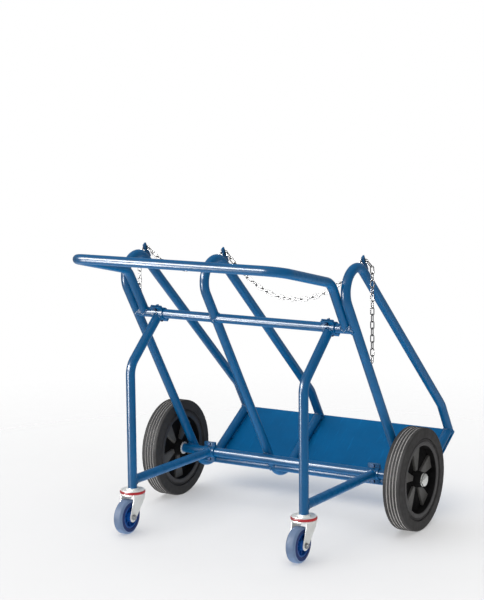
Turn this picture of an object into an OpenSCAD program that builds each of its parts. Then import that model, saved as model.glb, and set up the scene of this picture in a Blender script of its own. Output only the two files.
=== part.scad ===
// Two-bay cylinder trolley: three bent-tube hoops on a through axle, a push handle, a footplate,
// two large wheels, two clamped-on castor frames and a retaining chain across the bays.
// It stands on all four wheels, leaning back. X runs along the axle, +Y towards the toe, +Z up.

/* [Main wheels] */
// Outside diameter of a main wheel
wheel_d = 300; // [260:2:340]
// Width of the tyre
tyre_w = 54; // [48:1:60]
// Distance between the mid planes of the two main wheels
track = 826; // [740:1:900]
// Diameter of the wheel centre, where the tyre sits
centre_d = 222; // [210:1:236]
// Clear diameter inside the rim band of the wheel centre
rim_opening_d = 198; // [186:1:204]
// Outside diameter of the wheel hub
hub_d = 50; // [40:1:58]
// Length of the wheel hub along the axle
hub_len = 58; // [56:1:66]
// Number of spokes in a wheel centre
spoke_n = 5; // [4:1:6]
// Width of a spoke where it meets the rim band
spoke_rim_w = 62; // [40:1:70]
// Width of a spoke where it meets the hub
spoke_hub_w = 26; // [18:1:32]
// Depth of the spoke faces below the rim band's edge
spoke_inset = 12; // [6:1:16]
// Turn of the first spoke from the wheel's own axis
spoke_phase = 38; // [0:1:72]
// Thickness of the closed web behind the spokes
web_t = 4; // [3:0.5:8]
// Number of grooves round the tread
groove_n = 3; // [2:1:4]
// Width of a tread groove
groove_w = 3.5; // [2:0.5:5]
// Depth of a tread groove
groove_depth = 4; // [2:0.5:6]
// Radius of the tyre's shoulders
shoulder_r = 8; // [4:0.5:10]
// Depth of the step in the tyre's side walls
side_step = 3; // [1:0.5:4]

/* [Axle] */
// Diameter of the axle shaft
shaft_d = 20; // [16:0.5:21]
// Outside diameter of the tube that carries the axle shaft
axle_tube_d = 27; // [25:0.5:30]
// Wall of the roller bearing sleeve in each hub
bearing_wall = 4; // [3:0.5:6]
// Outside diameter of the axle washers
washer_d = 38; // [32:1:44]
// Thickness of the axle washers
washer_t = 2; // [1.5:0.5:3]
// Diameter of the caps on the axle ends
cap_d = 37; // [32:1:42]
// Height of the caps on the axle ends
cap_h = 8; // [7:0.5:12]

/* [Frame] */
// Angle by which the frame leans back from upright
lean = 32.5; // [29:0.5:36]
// Outside diameter of the frame tube
tube_d = 27; // [24:0.5:29]
// Wall of the frame tube
tube_wall = 2.3; // [1.5:0.1:3]
// Distance of an outer hoop inside the mid plane of its wheel
hoop_inset = 50; // [49:1:60]
// Place of the middle hoop along the axle
mid_hoop_x = -89.5; // [-140:0.5:-40]
// Distance from the rear legs forward to the toe, centre to centre
toe_reach = 303; // [270:1:330]
// Distance of the hoops' base runs below the axle
base_drop = 124; // [110:1:128]
// Height of the front legs' kink above the base runs
kink_rise = 104; // [80:1:120]
// Angle of the front legs to the rear legs
front_rake = 15.3; // [14.5:0.1:16.5]
// Bend radius at the top of the hoops
hoop_top_r = 62; // [52:1:70]
// Bend radius at the rear foot of the hoops
hoop_base_r = 75; // [60:1:85]
// Bend radius at the front legs' kink
kink_r = 60; // [40:1:90]
// Height of the upper cross tubes above the axle
upper_cross_rise = 538; // [510:1:560]
// Distance of the lower cross tubes below the axle
lower_cross_drop = 58; // [44:1:64]
// Thickness of the footplate
plate_t = 4; // [3:0.5:6]
// Corner radius of the footplate
plate_corner_r = 10; // [4:1:20]

/* [Handle] */
// Height of the handle's lower bends above the upper cross tubes
handle_rise = 162; // [140:1:180]
// Angle through which the handle bends back
handle_bend = 45; // [40:1:50]
// Length of the handle arms from the bend to the grip
arm_len = 274; // [240:1:300]
// Bend radius of the handle's lower bends
handle_bend_r = 60; // [40:1:80]
// Bend radius of the grip's corners
grip_corner_r = 50; // [40:1:70]
// Gap between the handle's legs and the outer hoops
handle_gap = 2; // [1:0.5:6]

/* [Castor frames] */
// Distance of a castor frame inside its outer hoop, centre to centre
castor_inset = 78.5; // [72:0.5:100]
// Distance of the castors' swivel axes behind the axle
castor_reach = 417; // [400:1:440]
// Height of the bend in the castor legs
leg_bend_z = 484; // [460:1:500]
// Bend radius of the castor legs
leg_bend_r = 60; // [45:1:75]
// Width of the clamps
clamp_w = 38; // [30:1:44]
// Thickness of the clamp plates
clamp_t = 4; // [3:0.5:5]
// Width of the clamp flanges beyond the tube
clamp_flange = 16; // [15:1:22]
// Gap between the two halves of a clamp
clamp_gap = 2; // [1:0.5:3]
// Diameter of the clamp bolts
clamp_bolt_d = 6; // [5:1:7]

/* [Castors] */
// Distance from the top of a castor to the castor strut above it
strut_clear = 8.5; // [6:0.5:14]
// Height of a castor's head above its wheel
castor_head_h = 28; // [26:0.5:32]
// Thickness of a castor tyre from the wheel's centre to the tread
castor_tread_t = 17; // [14:0.5:20]
// Width of a castor tyre
castor_tyre_w = 32; // [26:1:36]
// Distance of the castor axle behind the swivel axis
castor_trail = 31; // [28:1:36]
// Clear width between the fork legs
fork_gap = 42; // [40:1:46]
// Thickness of the fork's sheet
fork_t = 3; // [2:0.5:4]
// Diameter of the swivel head
head_d = 74; // [70:1:80]
// Diameter of the head's top plate
cup_d = 70; // [66:1:72]
// Width of the seal ring under the top plate
seal_w = 10; // [8:0.5:12]
// Diameter of a swivel ball
ball_d = 7; // [6:0.5:8]
// Number of swivel balls
ball_n = 16; // [10:1:16]
// Diameter of the king pin
king_d = 12; // [10:0.5:14]
// Diameter of the castor axle bolts
axle_bolt_d = 8; // [6:0.5:9]
// Wall of the axle sleeve between the fork legs
sleeve_wall = 2; // [1.5:0.5:3]

/* [Chain] */
// Diameter of the chain wire
wire_d = 3; // [2.5:0.1:3.2]
// Pitch of the chain
link_pitch = 19; // [18:0.5:22]
// Outside width of a link
link_w = 13; // [12.5:0.5:14]
// Length of the chain across a bay as a multiple of the straight distance
chain_slack = 1.135; // [1.08:0.005:1.15]
// Number of links in the right tail
tail_right_n = 15; // [6:1:18]
// Number of links in the left tail
tail_left_n = 9; // [6:1:18]
// Width of the chain tabs
tab_w = 14; // [12:0.5:18]
// Height of the chain tabs above the top of the front legs
tab_h = 40; // [36:1:50]
// Thickness of the chain tabs
tab_t = 5; // [4:0.5:6]

/* [Fits] */
// Gap left at a welded seat
weld_gap = 0.2; // [0.1:0.05:0.3]
// Gap round a piece that is pressed or clamped on
seat_gap = 0.1; // [0.05:0.05:0.2]
// Gap beside a face that turns
run_gap = 0.3; // [0.2:0.05:0.5]
// Radial clearance of a running bore
bore_fit = 0.05; // [0.02:0.01:0.1]

/* [Hidden] */
$fn = 64;
blue = [0.10, 0.41, 0.70];
zinc = [0.80, 0.81, 0.80];
steel = [0.62, 0.64, 0.66];
black = [0.10, 0.10, 0.11];
rubber = [0.17, 0.17, 0.17];
castor_blue = [0.13, 0.32, 0.60];
castor_grey = [0.40, 0.48, 0.64];
seal_red = [0.75, 0.16, 0.18];

// Overlap that lets one cut run clear of a face
over = 1;
// Reach of a cutting block that only has to be larger than the part
far = 2000;
// Overlap of a straight run with a bend, and how much thicker the bend is all round
bend_lap = 1;
bend_swell = 0.1;

tube_r = tube_d / 2;
axle_z = wheel_d / 2;
wheel_x = track / 2;
hoop_x = wheel_x - hoop_inset;
castor_x = hoop_x - castor_inset;

// The leaning frame is drawn as [x, forward, up] with the axle at its origin
leg_v = (axle_tube_d + tube_d) / 2 + weld_gap;
toe_v = leg_v + toe_reach;
base_u = -base_drop;
kink_u = base_u + kink_rise;
apex_u = kink_u + toe_reach / tan(front_rake);
upper_u = upper_cross_rise;
lower_u = -lower_cross_drop;
plate_top_u = base_u - tube_r - weld_gap;
plate_v0 = leg_v + hoop_base_r;
plate_v1 = toe_v + tube_r;
embed = 0.4 * tube_r;

// Where the front legs run into the top bends
top_setback = hoop_top_r * tan(90 - front_rake / 2);
top_front_u = apex_u - top_setback * cos(front_rake);
top_front_v = leg_v + top_setback * sin(front_rake);

handle_x = hoop_x - tube_d - handle_gap;
handle_u = upper_u + handle_rise;
grip_v = leg_v - arm_len * sin(handle_bend);
grip_u = handle_u + arm_len * cos(handle_bend);

function lean_y(v, u) = v * cos(lean) - u * sin(lean);
function lean_z(v, u) = axle_z + v * sin(lean) + u * cos(lean);

// The middle of the trolley's length lies over the origin
front_y = lean_y(plate_v1, plate_top_u - plate_t);
rear_y = lean_y(grip_v, grip_u) - tube_r;
mid_y = (front_y + rear_y) / 2;

hub_face = hub_len / 2;
inner_washer_x = wheel_x - hub_face - run_gap - washer_t;
outer_washer_x = wheel_x + hub_face + run_gap;
cap_x = outer_washer_x + washer_t;
cap_bore = 0.6 * cap_h;
bearing_d = shaft_d + 2 * (bore_fit + bearing_wall);
rim_r = rim_opening_d / 2;
rim_w = tyre_w - 4;

clamp_in_r = tube_r + seat_gap;
axle_clamp_in_r = axle_tube_d / 2 + seat_gap;
bolt_head_w = 1.6 * clamp_bolt_d;
bolt_head_h = 0.65 * clamp_bolt_d;
bolt_end = 4;

// The castors fill the height under the struts, which lie level with the axle
castor_h = axle_z - tube_r - strut_clear;
castor_d = castor_h - castor_head_h;
castor_centre_d = castor_d - 2 * castor_tread_t;
boss_h = 4;
cup_t = 2.5;
cup_under = castor_h - boss_h - cup_t;
crown_top = cup_under - ball_d - 2 * seat_gap;
crown_under = crown_top - fork_t;
rivet_h = 4;
rivet_d = king_d + 8;
seal_in_r = head_d / 2 - seal_w;
ball_ring_r = seal_in_r - ball_d / 2 - 2;
spigot_h = 24;
castor_r = castor_d / 2;
sleeve_d = axle_bolt_d + 2 * (seat_gap + sleeve_wall);
fork_eye_r = 14;
fork_top_w = 0.76 * head_d;
fork_shoulder = 14;
castor_hub_w = fork_gap - 2 * run_gap;
castor_hub_d = sleeve_d + 14;
castor_web_t = 8;
castor_rim_t = 5;
castor_shoulder_r = 8;
castor_nut_w = 1.7 * axle_bolt_d;
castor_nut_h = 0.8 * axle_bolt_d;

// A link's end arcs lie link_half from its middle, and its sides lie link_side from its axis
link_gap = 0.3;
link_side = (link_w - wire_d) / 2;
link_half = (link_pitch + wire_d + link_gap) / 2;
link_fn = 24;
slot_w = wire_d + 1;
tab_v0 = top_front_v + tube_r - 3;
tab_top = top_front_u + tab_h;
tab_foot = 10;
// The slot's foot, where the lower side of an anchor link rests; the slot runs straight up from it
slot_v = tab_v0 + 2 * wire_d;
slot_u = tab_top - 1.6 * link_w;
chain_y = lean_y(slot_v, slot_u);
chain_z = lean_z(slot_v, slot_u) + link_side;
// Links lie flat and upright in turn; between the points where they hinge on each other the flat
// ones are longer and the upright ones shorter than the pitch
flat_len = 2 * link_half;
upright_len = 2 * (link_pitch - link_half);
tail_first_drop = 45;
tail_second_drop = 85;

// Puts the axle's middle at its place over the origin
module place() translate([0, -mid_y, 0]) children();

// The leaning frame, with the axle at its origin
module leaning() place() translate([0, 0, axle_z]) rotate([lean, 0, 0]) children();

// The swivel axis of a castor, with its origin on the floor
module at_castor(side) place() translate([side * castor_x, -castor_reach, 0]) children();

// The axle of a castor wheel, along X
module at_castor_axle(side) at_castor(side) translate([0, -castor_trail, castor_r]) children();

// The middle of a main wheel, with +Z pointing outwards along the axle
module at_wheel(side) place() translate([side * wheel_x, 0, axle_z]) rotate([0, side * 90, 0]) children();

function unit(a) = a / norm(a);

// Turns +Z to point along a direction
module aim(a) rotate([0, acos(a.z / norm(a)), atan2(a.y, a.x)]) children();

module rod(a, b, d) translate(a) aim(b - a) cylinder(d = d, h = norm(b - a));

// Direction of the run from point i of a path, and the turn and the set-back of the bend at point i
function heading(p, i) = unit(p[i + 1] - p[i]);
function is_bend(p, i) = i > 0 && i < len(p) - 1;
function turn_at(p, i) = acos(heading(p, i - 1) * heading(p, i));
function setback(p, r, i) = r[i] * tan(turn_at(p, i) / 2);
// A straight run ends a little way inside the bend, which is a hair thicker
function run_end(p, r, i) = is_bend(p, i) ? setback(p, r, i) - bend_lap : 0;
// The part of direction a that is square to direction b
function square_part(a, b) = unit(a - (a * b) * b);
// The outer side of the bend beside a straight run, or any side of a run without bends
function outer_side(p, i) =
    is_bend(p, i + 1) ? -square_part(heading(p, i + 1), heading(p, i)) :
    square_part(heading(p, i - 1), heading(p, i));

// Places children at point c, with their X and Z along two directions that are square to each other
module facing(c, x, z) {
    y = cross(z, x);
    multmatrix([
        [x.x, y.x, z.x, c.x],
        [x.y, y.y, z.y, c.y],
        [x.z, y.z, z.z, c.z],
        [0, 0, 0, 1]
    ]) children();
}

// The straight run of a rod from point i of a path
module rod_run(p, r, i, d) {
    along = heading(p, i);
    start = p[i] + along * run_end(p, r, i);
    end = p[i + 1] - along * run_end(p, r, i + 1);
    facing(start, outer_side(p, i), along) cylinder(d = d, h = norm(end - start));
}

// The bend of a rod at point i of a path
module rod_bend(p, r, i, d) {
    a = heading(p, i - 1);
    b = heading(p, i);
    centre = p[i] + unit(b - a) * r[i] / cos(turn_at(p, i) / 2);
    facing(centre, outer_side(p, i - 1), unit(cross(a, b)))
        rotate_extrude(angle = turn_at(p, i)) translate([r[i], 0]) circle(d = d + 2 * bend_swell);
}

// A round rod along a path of straight runs, with a bend radius at each inner point
module rod_path(p, r, d) {
    for (i = [0 : len(p) - 2]) rod_run(p, r, i, d);
    for (i = [1 : len(p) - 2]) rod_bend(p, r, i, d);
}

// Points of a flat path at place x along the axle
function at_x(x, p) = [for (q = p) [x, q[0], q[1]]];

// The hoop's path from the front leg's foot round to the base run's front end
function hoop_path(foot_u, end_v) = [
    [toe_v, foot_u], [toe_v, kink_u], [leg_v, apex_u], [leg_v, base_u], [end_v, base_u]
];
hoop_radii = [0, kink_r, hoop_top_r, hoop_base_r, 0];

module hoop(x) color(blue) leaning() difference() {
    rod_path(at_x(x, hoop_path(plate_top_u, toe_v - embed)), hoop_radii, tube_d);
    rod_path(at_x(x, hoop_path(plate_top_u - over, toe_v - tube_r)), hoop_radii, tube_d - 2 * tube_wall);
}

// The room that a hoop's rear leg and foot bend take, with the gap for the weld
module rear_leg_room(x) rod_path(
    at_x(x, [[leg_v, upper_u + far / 10], [leg_v, base_u], [toe_v, base_u]]),
    [0, hoop_base_r, 0],
    tube_d + 2 * weld_gap
);

// A cross tube between two hoops, its ends shaped to their rear legs
module cross_tube(x0, x1, u) color(blue) leaning() difference() {
    rod([x0, leg_v, u], [x1, leg_v, u], tube_d);
    rod([x0 - over, leg_v, u], [x1 + over, leg_v, u], tube_d - 2 * tube_wall);
    rear_leg_room(x0);
    rear_leg_room(x1);
}

// A rectangle with round corners, from its lower corner
module round_rect(w, h, r) {
    translate([r, 0]) square([w - 2 * r, h]);
    translate([0, r]) square([w, h - 2 * r]);
    for (x = [r, w - r], y = [r, h - r]) translate([x, y]) circle(r);
}

module footplate() {
    w = 2 * hoop_x + tube_d;
    color(blue) leaning() translate([-w / 2, plate_v0, plate_top_u - plate_t])
        linear_extrude(plate_t) round_rect(w, plate_v1 - plate_v0, plate_corner_r);
}

function handle_path() = [
    [handle_x, leg_v, upper_u], [handle_x, leg_v, handle_u], [handle_x, grip_v, grip_u],
    [-handle_x, grip_v, grip_u], [-handle_x, leg_v, handle_u], [-handle_x, leg_v, upper_u]
];
handle_radii = [0, handle_bend_r, grip_corner_r, grip_corner_r, handle_bend_r, 0];

module handle() color(blue) leaning() difference() {
    rod_path(handle_path(), handle_radii, tube_d);
    rod_path(handle_path(), handle_radii, tube_d - 2 * tube_wall);
    rod([-hoop_x, leg_v, upper_u], [hoop_x, leg_v, upper_u], tube_d + 2 * weld_gap);
}

module along_axle() place() translate([0, 0, axle_z]) rotate([0, 90, 0]) children();

module axle_tube() color(blue) along_axle() difference() {
    cylinder(d = axle_tube_d, h = 2 * inner_washer_x, center = true);
    cylinder(d = shaft_d + 2 * seat_gap, h = 2 * inner_washer_x + over, center = true);
}

module axle_shaft() color(steel) along_axle()
    cylinder(d = shaft_d, h = 2 * (cap_x + cap_bore - seat_gap), center = true);

module washer_at(x) along_axle() translate([0, 0, x]) difference() {
    cylinder(d = washer_d, h = washer_t);
    translate([0, 0, -over]) cylinder(d = shaft_d + 2 * seat_gap, h = washer_t + 2 * over);
}

module axle_washers() color(zinc) {
    for (x = [inner_washer_x, outer_washer_x]) {
        washer_at(x);
        washer_at(-x - washer_t);
    }
}

// A pressed cap: a low rim under a shallow dome, bored for the shaft's end
module axle_cap() {
    dome_r = (pow(cap_d / 2, 2) + pow(cap_h / 2, 2)) / cap_h;
    difference() {
        union() {
            cylinder(d = cap_d, h = cap_h / 2);
            intersection() {
                translate([0, 0, cap_h - dome_r]) sphere(dome_r);
                cylinder(d = cap_d, h = cap_h);
            }
        }
        translate([0, 0, -over]) cylinder(d = shaft_d + 2 * seat_gap, h = cap_bore + over);
    }
}

module axle_caps() color(zinc)
    for (side = [-1, 1]) at_wheel(side) translate([0, 0, cap_x - wheel_x]) axle_cap();

// Half section of a ring with round outer corners, from radius r0 to r1
module ring_section(r0, r1, w, corner) {
    translate([r0, -w / 2]) square([r1 - corner - r0, w]);
    translate([r0, -w / 2 + corner]) square([r1 - r0, w - 2 * corner]);
    for (z = [-1, 1]) translate([r1 - corner, z * (w / 2 - corner)]) circle(corner);
}

// A tyre with grooves round its tread and a step in each side wall
module tyre(side) {
    groove_step = tyre_w / (groove_n + 1);
    bead_r = centre_d / 2 + seat_gap;
    step_h = (wheel_d / 2 - bead_r) * 0.25;
    color(rubber) at_wheel(side) rotate_extrude() difference() {
        ring_section(bead_r, wheel_d / 2, tyre_w, shoulder_r);
        for (i = [0 : groove_n - 1])
            translate([wheel_d / 2 - groove_depth, -tyre_w / 2 + (i + 1) * groove_step - groove_w / 2])
                square([groove_depth + over, groove_w]);
        for (z = [-1, 1])
            translate([bead_r - over, z * (tyre_w / 2) - side_step])
                square([step_h + over, 2 * side_step]);
    }
}

// Outline of the tapered spokes, out to the rim band
module spokes_outline() for (i = [0 : spoke_n - 1]) rotate(i * 360 / spoke_n)
    polygon([
        [0, -spoke_hub_w / 2], [0, spoke_hub_w / 2],
        [rim_r + over, spoke_rim_w / 2], [rim_r + over, -spoke_rim_w / 2]
    ]);

// A moulded wheel centre: a rim band, a closed web, spokes standing on both sides and a bored hub
module wheel_centre(side) color(black) at_wheel(side) difference() {
    union() {
        rotate_extrude() translate([rim_r, -rim_w / 2]) square([centre_d / 2 - rim_r, rim_w]);
        cylinder(r = rim_r + over, h = web_t, center = true);
        cylinder(d = hub_d, h = hub_len, center = true);
        linear_extrude(rim_w - 2 * spoke_inset, center = true) intersection() {
            circle(rim_r + over);
            rotate(spoke_phase * side) spokes_outline();
        }
    }
    cylinder(d = bearing_d + 2 * seat_gap, h = hub_len + 2 * over, center = true);
}

module bearing(side) color(steel) at_wheel(side) difference() {
    cylinder(d = bearing_d, h = hub_len, center = true);
    cylinder(d = shaft_d + 2 * bore_fit, h = hub_len + over, center = true);
}

// The clamped tubes seen from the side, and the direction of the strut that meets each of them
upper_clamp_at = [lean_y(leg_v, upper_u), lean_z(leg_v, upper_u)];
leg_bend_at = [-castor_reach, leg_bend_z];
upper_strut = leg_bend_at - upper_clamp_at;
upper_clamp_turn = atan2(-upper_strut.x, upper_strut.y);
lower_clamp_turn = 90;

// Clamp frames: X along the tube, +Z towards the strut
module at_upper_clamp(side) place()
    translate([side * castor_x, upper_clamp_at.x, upper_clamp_at.y]) rotate([upper_clamp_turn, 0, 0]) children();
module at_lower_clamp(side) place()
    translate([side * castor_x, 0, axle_z]) rotate([lower_clamp_turn, 0, 0]) children();

// Distance of the clamp bolts from the middle of the tube
function bolt_reach(in_r) = in_r + clamp_t + (clamp_flange - clamp_t) / 2;

// Half of a clamp, on the +Z side of its tube
module half_clamp(in_r) difference() {
    union() {
        rotate([0, 90, 0]) cylinder(r = in_r + clamp_t, h = clamp_w, center = true);
        translate([-clamp_w / 2, -in_r - clamp_flange, clamp_gap / 2])
            cube([clamp_w, 2 * (in_r + clamp_flange), clamp_t]);
    }
    rotate([0, 90, 0]) cylinder(r = in_r, h = clamp_w + over, center = true);
    translate([-clamp_w, -far / 2, clamp_gap / 2 - far]) cube([2 * clamp_w, far, far]);
    for (y = [-1, 1]) translate([0, y * bolt_reach(in_r), 0])
        cylinder(d = clamp_bolt_d + 2 * seat_gap, h = far / 10, center = true);
}

module clamp_cap(in_r) color(blue) mirror([0, 0, 1]) half_clamp(in_r);

function leg_path(side, foot_z) = [
    [side * castor_x, -castor_reach, foot_z],
    [side * castor_x, leg_bend_at.x, leg_bend_at.y],
    [side * castor_x, upper_clamp_at.x, upper_clamp_at.y]
];
leg_radii = [0, leg_bend_r, 0];

// A castor leg: a bent tube that ends in the rear half of the upper clamp
module castor_leg(side) color(blue) {
    difference() {
        place() rod_path(leg_path(side, castor_h), leg_radii, tube_d);
        place() rod_path(leg_path(side, castor_h - over), leg_radii, tube_d - 2 * tube_wall);
        at_upper_clamp(side) rotate([0, 90, 0])
            cylinder(r = clamp_in_r + clamp_t / 2, h = 2 * clamp_w, center = true);
    }
    at_upper_clamp(side) half_clamp(clamp_in_r);
}

// A castor strut: a straight tube from the castor leg to the rear half of the lower clamp
module castor_strut(side) color(blue) {
    difference() {
        place() rod([side * castor_x, 0, axle_z], [side * castor_x, -castor_reach, axle_z], tube_d);
        place() rod(
            [side * castor_x, over, axle_z],
            [side * castor_x, -castor_reach - over, axle_z],
            tube_d - 2 * tube_wall
        );
        place() rod_path(leg_path(side, 0), leg_radii, tube_d + 2 * weld_gap);
        at_lower_clamp(side) rotate([0, 90, 0])
            cylinder(r = axle_clamp_in_r + clamp_t / 2, h = 2 * clamp_w, center = true);
    }
    at_lower_clamp(side) half_clamp(axle_clamp_in_r);
}

// Places one bolt of every clamp, its head side up
module at_clamp_bolts() for (side = [-1, 1], y = [-1, 1]) {
    at_upper_clamp(side) translate([0, y * bolt_reach(clamp_in_r), 0]) children();
    at_lower_clamp(side) translate([0, y * bolt_reach(axle_clamp_in_r), 0]) children();
}

module hexagon(w, h) cylinder(d = w / cos(30), h = h, $fn = 6);

module clamp_bolts() color(steel) at_clamp_bolts() {
    grip = clamp_gap / 2 + clamp_t;
    translate([0, 0, -grip - bolt_head_h - bolt_end])
        cylinder(d = clamp_bolt_d, h = 2 * grip + bolt_head_h + bolt_end + over / 2);
    translate([0, 0, grip]) hexagon(bolt_head_w, bolt_head_h);
}

module clamp_nuts() color(steel) at_clamp_bolts()
    translate([0, 0, -clamp_gap / 2 - clamp_t - bolt_head_h]) difference() {
        hexagon(bolt_head_w, bolt_head_h);
        translate([0, 0, -over]) cylinder(d = clamp_bolt_d + 2 * seat_gap, h = bolt_head_h + 2 * over);
    }

// The fixed part of a castor: a spigot in the leg, a boss, the top plate and the king pin
module castor_stem(side) color(zinc) at_castor(side) {
    translate([0, 0, castor_h]) cylinder(d = tube_d - 2 * tube_wall - 2 * seat_gap, h = spigot_h);
    translate([0, 0, castor_h - boss_h]) cylinder(d = tube_d + 8, h = boss_h);
    translate([0, 0, cup_under]) cylinder(d = cup_d, h = cup_t);
    translate([0, 0, crown_under - run_gap - rivet_h / 2])
        cylinder(d = king_d, h = cup_under - crown_under + run_gap + rivet_h / 2 + over);
    translate([0, 0, crown_under - run_gap - rivet_h]) cylinder(d = rivet_d, h = rivet_h);
}

module castor_balls(side) color(steel) at_castor(side)
    for (i = [0 : ball_n - 1]) rotate(i * 360 / ball_n)
        translate([ball_ring_r, 0, crown_top + seat_gap + ball_d / 2]) sphere(d = ball_d);

// The ring that keeps dirt out of the swivel balls
module castor_seal(side) {
    seal_h = cup_under - run_gap - crown_top - seat_gap;
    color(seal_red) at_castor(side) translate([0, 0, crown_top + seat_gap + seal_h / 2])
        rotate_extrude() ring_section(seal_in_r, head_d / 2, seal_h, seal_h / 3);
}

// Point where a line from p touches a circle round c, on the left (1) or right (-1) of the line
function touch(p, c, r, hand) =
    let (d = p - c, a = atan2(d.y, d.x) + hand * acos(r / norm(d)))
    c + r * [cos(a), sin(a)];

// Side outline of a fork leg, as [y, z] from the swivel axis on the floor
module fork_leg_outline() {
    eye = [-castor_trail, castor_r];
    front = [fork_top_w / 2, crown_under - fork_shoulder];
    back = [-fork_top_w / 2, crown_under - fork_shoulder];
    translate(eye) circle(fork_eye_r);
    polygon([
        [-fork_top_w / 2, crown_top], back, touch(back, eye, fork_eye_r, 1), eye,
        touch(front, eye, fork_eye_r, -1), front, [fork_top_w / 2, crown_top]
    ]);
}

// A pressed fork: a round crown with two legs that carry the axle behind the swivel axis
module castor_fork(side) color(zinc) difference() {
    at_castor(side) {
        translate([0, 0, crown_under]) cylinder(d = head_d - 2, h = fork_t);
        for (x = [-fork_gap / 2 - fork_t, fork_gap / 2])
            translate([x, 0, 0]) rotate([90, 0, 90]) linear_extrude(fork_t) fork_leg_outline();
    }
    at_castor(side) translate([0, 0, crown_under - over])
        cylinder(d = king_d + 2 * bore_fit, h = fork_t + 2 * over);
    at_castor_axle(side) rotate([0, 90, 0])
        cylinder(d = axle_bolt_d + 2 * seat_gap, h = 2 * head_d, center = true);
}

module castor_sleeve(side) color(steel) at_castor_axle(side) rotate([0, 90, 0]) difference() {
    cylinder(d = sleeve_d, h = fork_gap - 2 * seat_gap, center = true);
    cylinder(d = axle_bolt_d + 2 * seat_gap, h = fork_gap + over, center = true);
}

// The castor's axle bolt with its head, and a nut at the other end
module castor_bolt(side) {
    grip = fork_gap / 2 + fork_t + seat_gap;
    color(zinc) at_castor_axle(side) rotate([0, 90, 0]) {
        cylinder(d = axle_bolt_d, h = 2 * (grip + castor_nut_h) + over, center = true);
        for (z = [-grip - castor_nut_h, grip]) translate([0, 0, z]) hexagon(castor_nut_w, castor_nut_h);
    }
}

// The castor wheel's centre: a hub, a web and a rim under the tyre
module castor_centre(side) color(castor_blue) at_castor_axle(side) rotate([0, 90, 0]) difference() {
    rim_w = castor_tyre_w - 3;
    union() {
        cylinder(d = castor_hub_d, h = castor_hub_w, center = true);
        cylinder(d = castor_centre_d - castor_rim_t, h = castor_web_t, center = true);
        rotate_extrude() translate([castor_centre_d / 2 - castor_rim_t, -rim_w / 2]) square([castor_rim_t, rim_w]);
    }
    cylinder(d = sleeve_d + 2 * bore_fit, h = castor_hub_w + over, center = true);
}

module castor_tyre(side) color(castor_grey) at_castor_axle(side) rotate([0, 90, 0])
    rotate_extrude() ring_section(castor_centre_d / 2 + seat_gap, castor_r, castor_tyre_w, castor_shoulder_r);

// A slotted tab on the front of a hoop that holds one link of the chain
module chain_tab(x) color(blue) leaning() difference() {
    translate([x - tab_t / 2, tab_v0, top_front_u - tab_foot]) cube([tab_t, tab_w, tab_h + tab_foot]);
    translate([x - tab_t, slot_v, slot_u]) rotate([-lean, 0, 0])
        translate([0, -slot_w / 2, -wire_d / 2 - seat_gap]) cube([2 * tab_t, slot_w, 2 * tab_h]);
    rod_path(at_x(x, hoop_path(plate_top_u, toe_v)), hoop_radii, tube_d + 2 * weld_gap);
}

// One link, its length along X and its width along Y
module link() for (s = [-1, 1]) {
    translate([s * (link_half - link_side), 0, 0]) rotate(s * 90 - 90)
        rotate([0, 0, -90]) rotate_extrude(angle = 180, $fn = link_fn)
            translate([link_side, 0]) circle(d = wire_d, $fn = link_fn);
    translate([-(link_half - link_side), s * link_side, 0]) rotate([0, 90, 0])
        cylinder(d = wire_d, h = 2 * (link_half - link_side), $fn = link_fn);
}

// A link between the points a and b where it hinges; upright links stand in the chain's plane
module link_between(a, b, upright) {
    across = [0, 1, 0];
    t = unit(b - a);
    facing((a + b) / 2, t, upright ? -across : cross(t, across)) link();
}

module links_along(joints) for (i = [0 : len(joints) - 2])
    link_between(joints[i], joints[i + 1], i % 2 == 1);

function sinh(x) = (exp(x) - exp(-x)) / 2;
function asinh(x) = ln(x + sqrt(x * x + 1));

// Shape constant of a hanging curve of half span h and length len, found by halving
function hang_constant(h, len, low, high, steps) =
    let (mid = (low + high) / 2)
    steps == 0 ? mid :
    2 * mid * sinh(h / mid) > len ? hang_constant(h, len, mid, high, steps - 1) :
    hang_constant(h, len, low, mid, steps - 1);

// Distance along a chain to the start of link i, counted from a flat link
function links_before(i) = ceil(i / 2) * flat_len + floor(i / 2) * upright_len;

// Hinge points of a chain that hangs from x0 to x1 at the anchors' height, with a flat link at each end
function hanging_joints(x0, x1) =
    let (
        h = (x1 - x0) / 2,
        n = 2 * round((2 * h * chain_slack / link_pitch - 1) / 2) + 1,
        len = links_before(n),
        c = hang_constant(h, len, h / 4, 20 * h, 50),
        end_rise = sqrt(c * c + len * len / 4)
    )
    [for (i = [0 : n])
        let (s = links_before(i) - len / 2)
        [(x0 + x1) / 2 + c * asinh(s / c), chain_y, chain_z + sqrt(c * c + s * s) - end_rise]];

// Hinge points of a tail that leaves an outer tab and hangs beside its hoop
function link_len(i) = i % 2 == 0 ? flat_len : upright_len;
function tail_drop(i) = i == 0 ? tail_first_drop : i == 1 ? tail_second_drop : 90;
function tail_joint(side, i) =
    i == 0 ? [side * (hoop_x + upright_len / 2), chain_y, chain_z] :
    tail_joint(side, i - 1) + link_len(i - 1) * [side * cos(tail_drop(i - 1)), 0, -sin(tail_drop(i - 1))];

module chain_run(x0, x1) color(steel) place()
    links_along(hanging_joints(x0 + upright_len / 2, x1 - upright_len / 2));

module chain_tail(side, n) color(steel) place() links_along([for (i = [0 : n]) tail_joint(side, i)]);

// The upright links that sit in the tabs' slots
module chain_anchors() color(steel) place() for (x = [-hoop_x, mid_hoop_x, hoop_x])
    link_between([x - upright_len / 2, chain_y, chain_z], [x + upright_len / 2, chain_y, chain_z], true);

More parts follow.
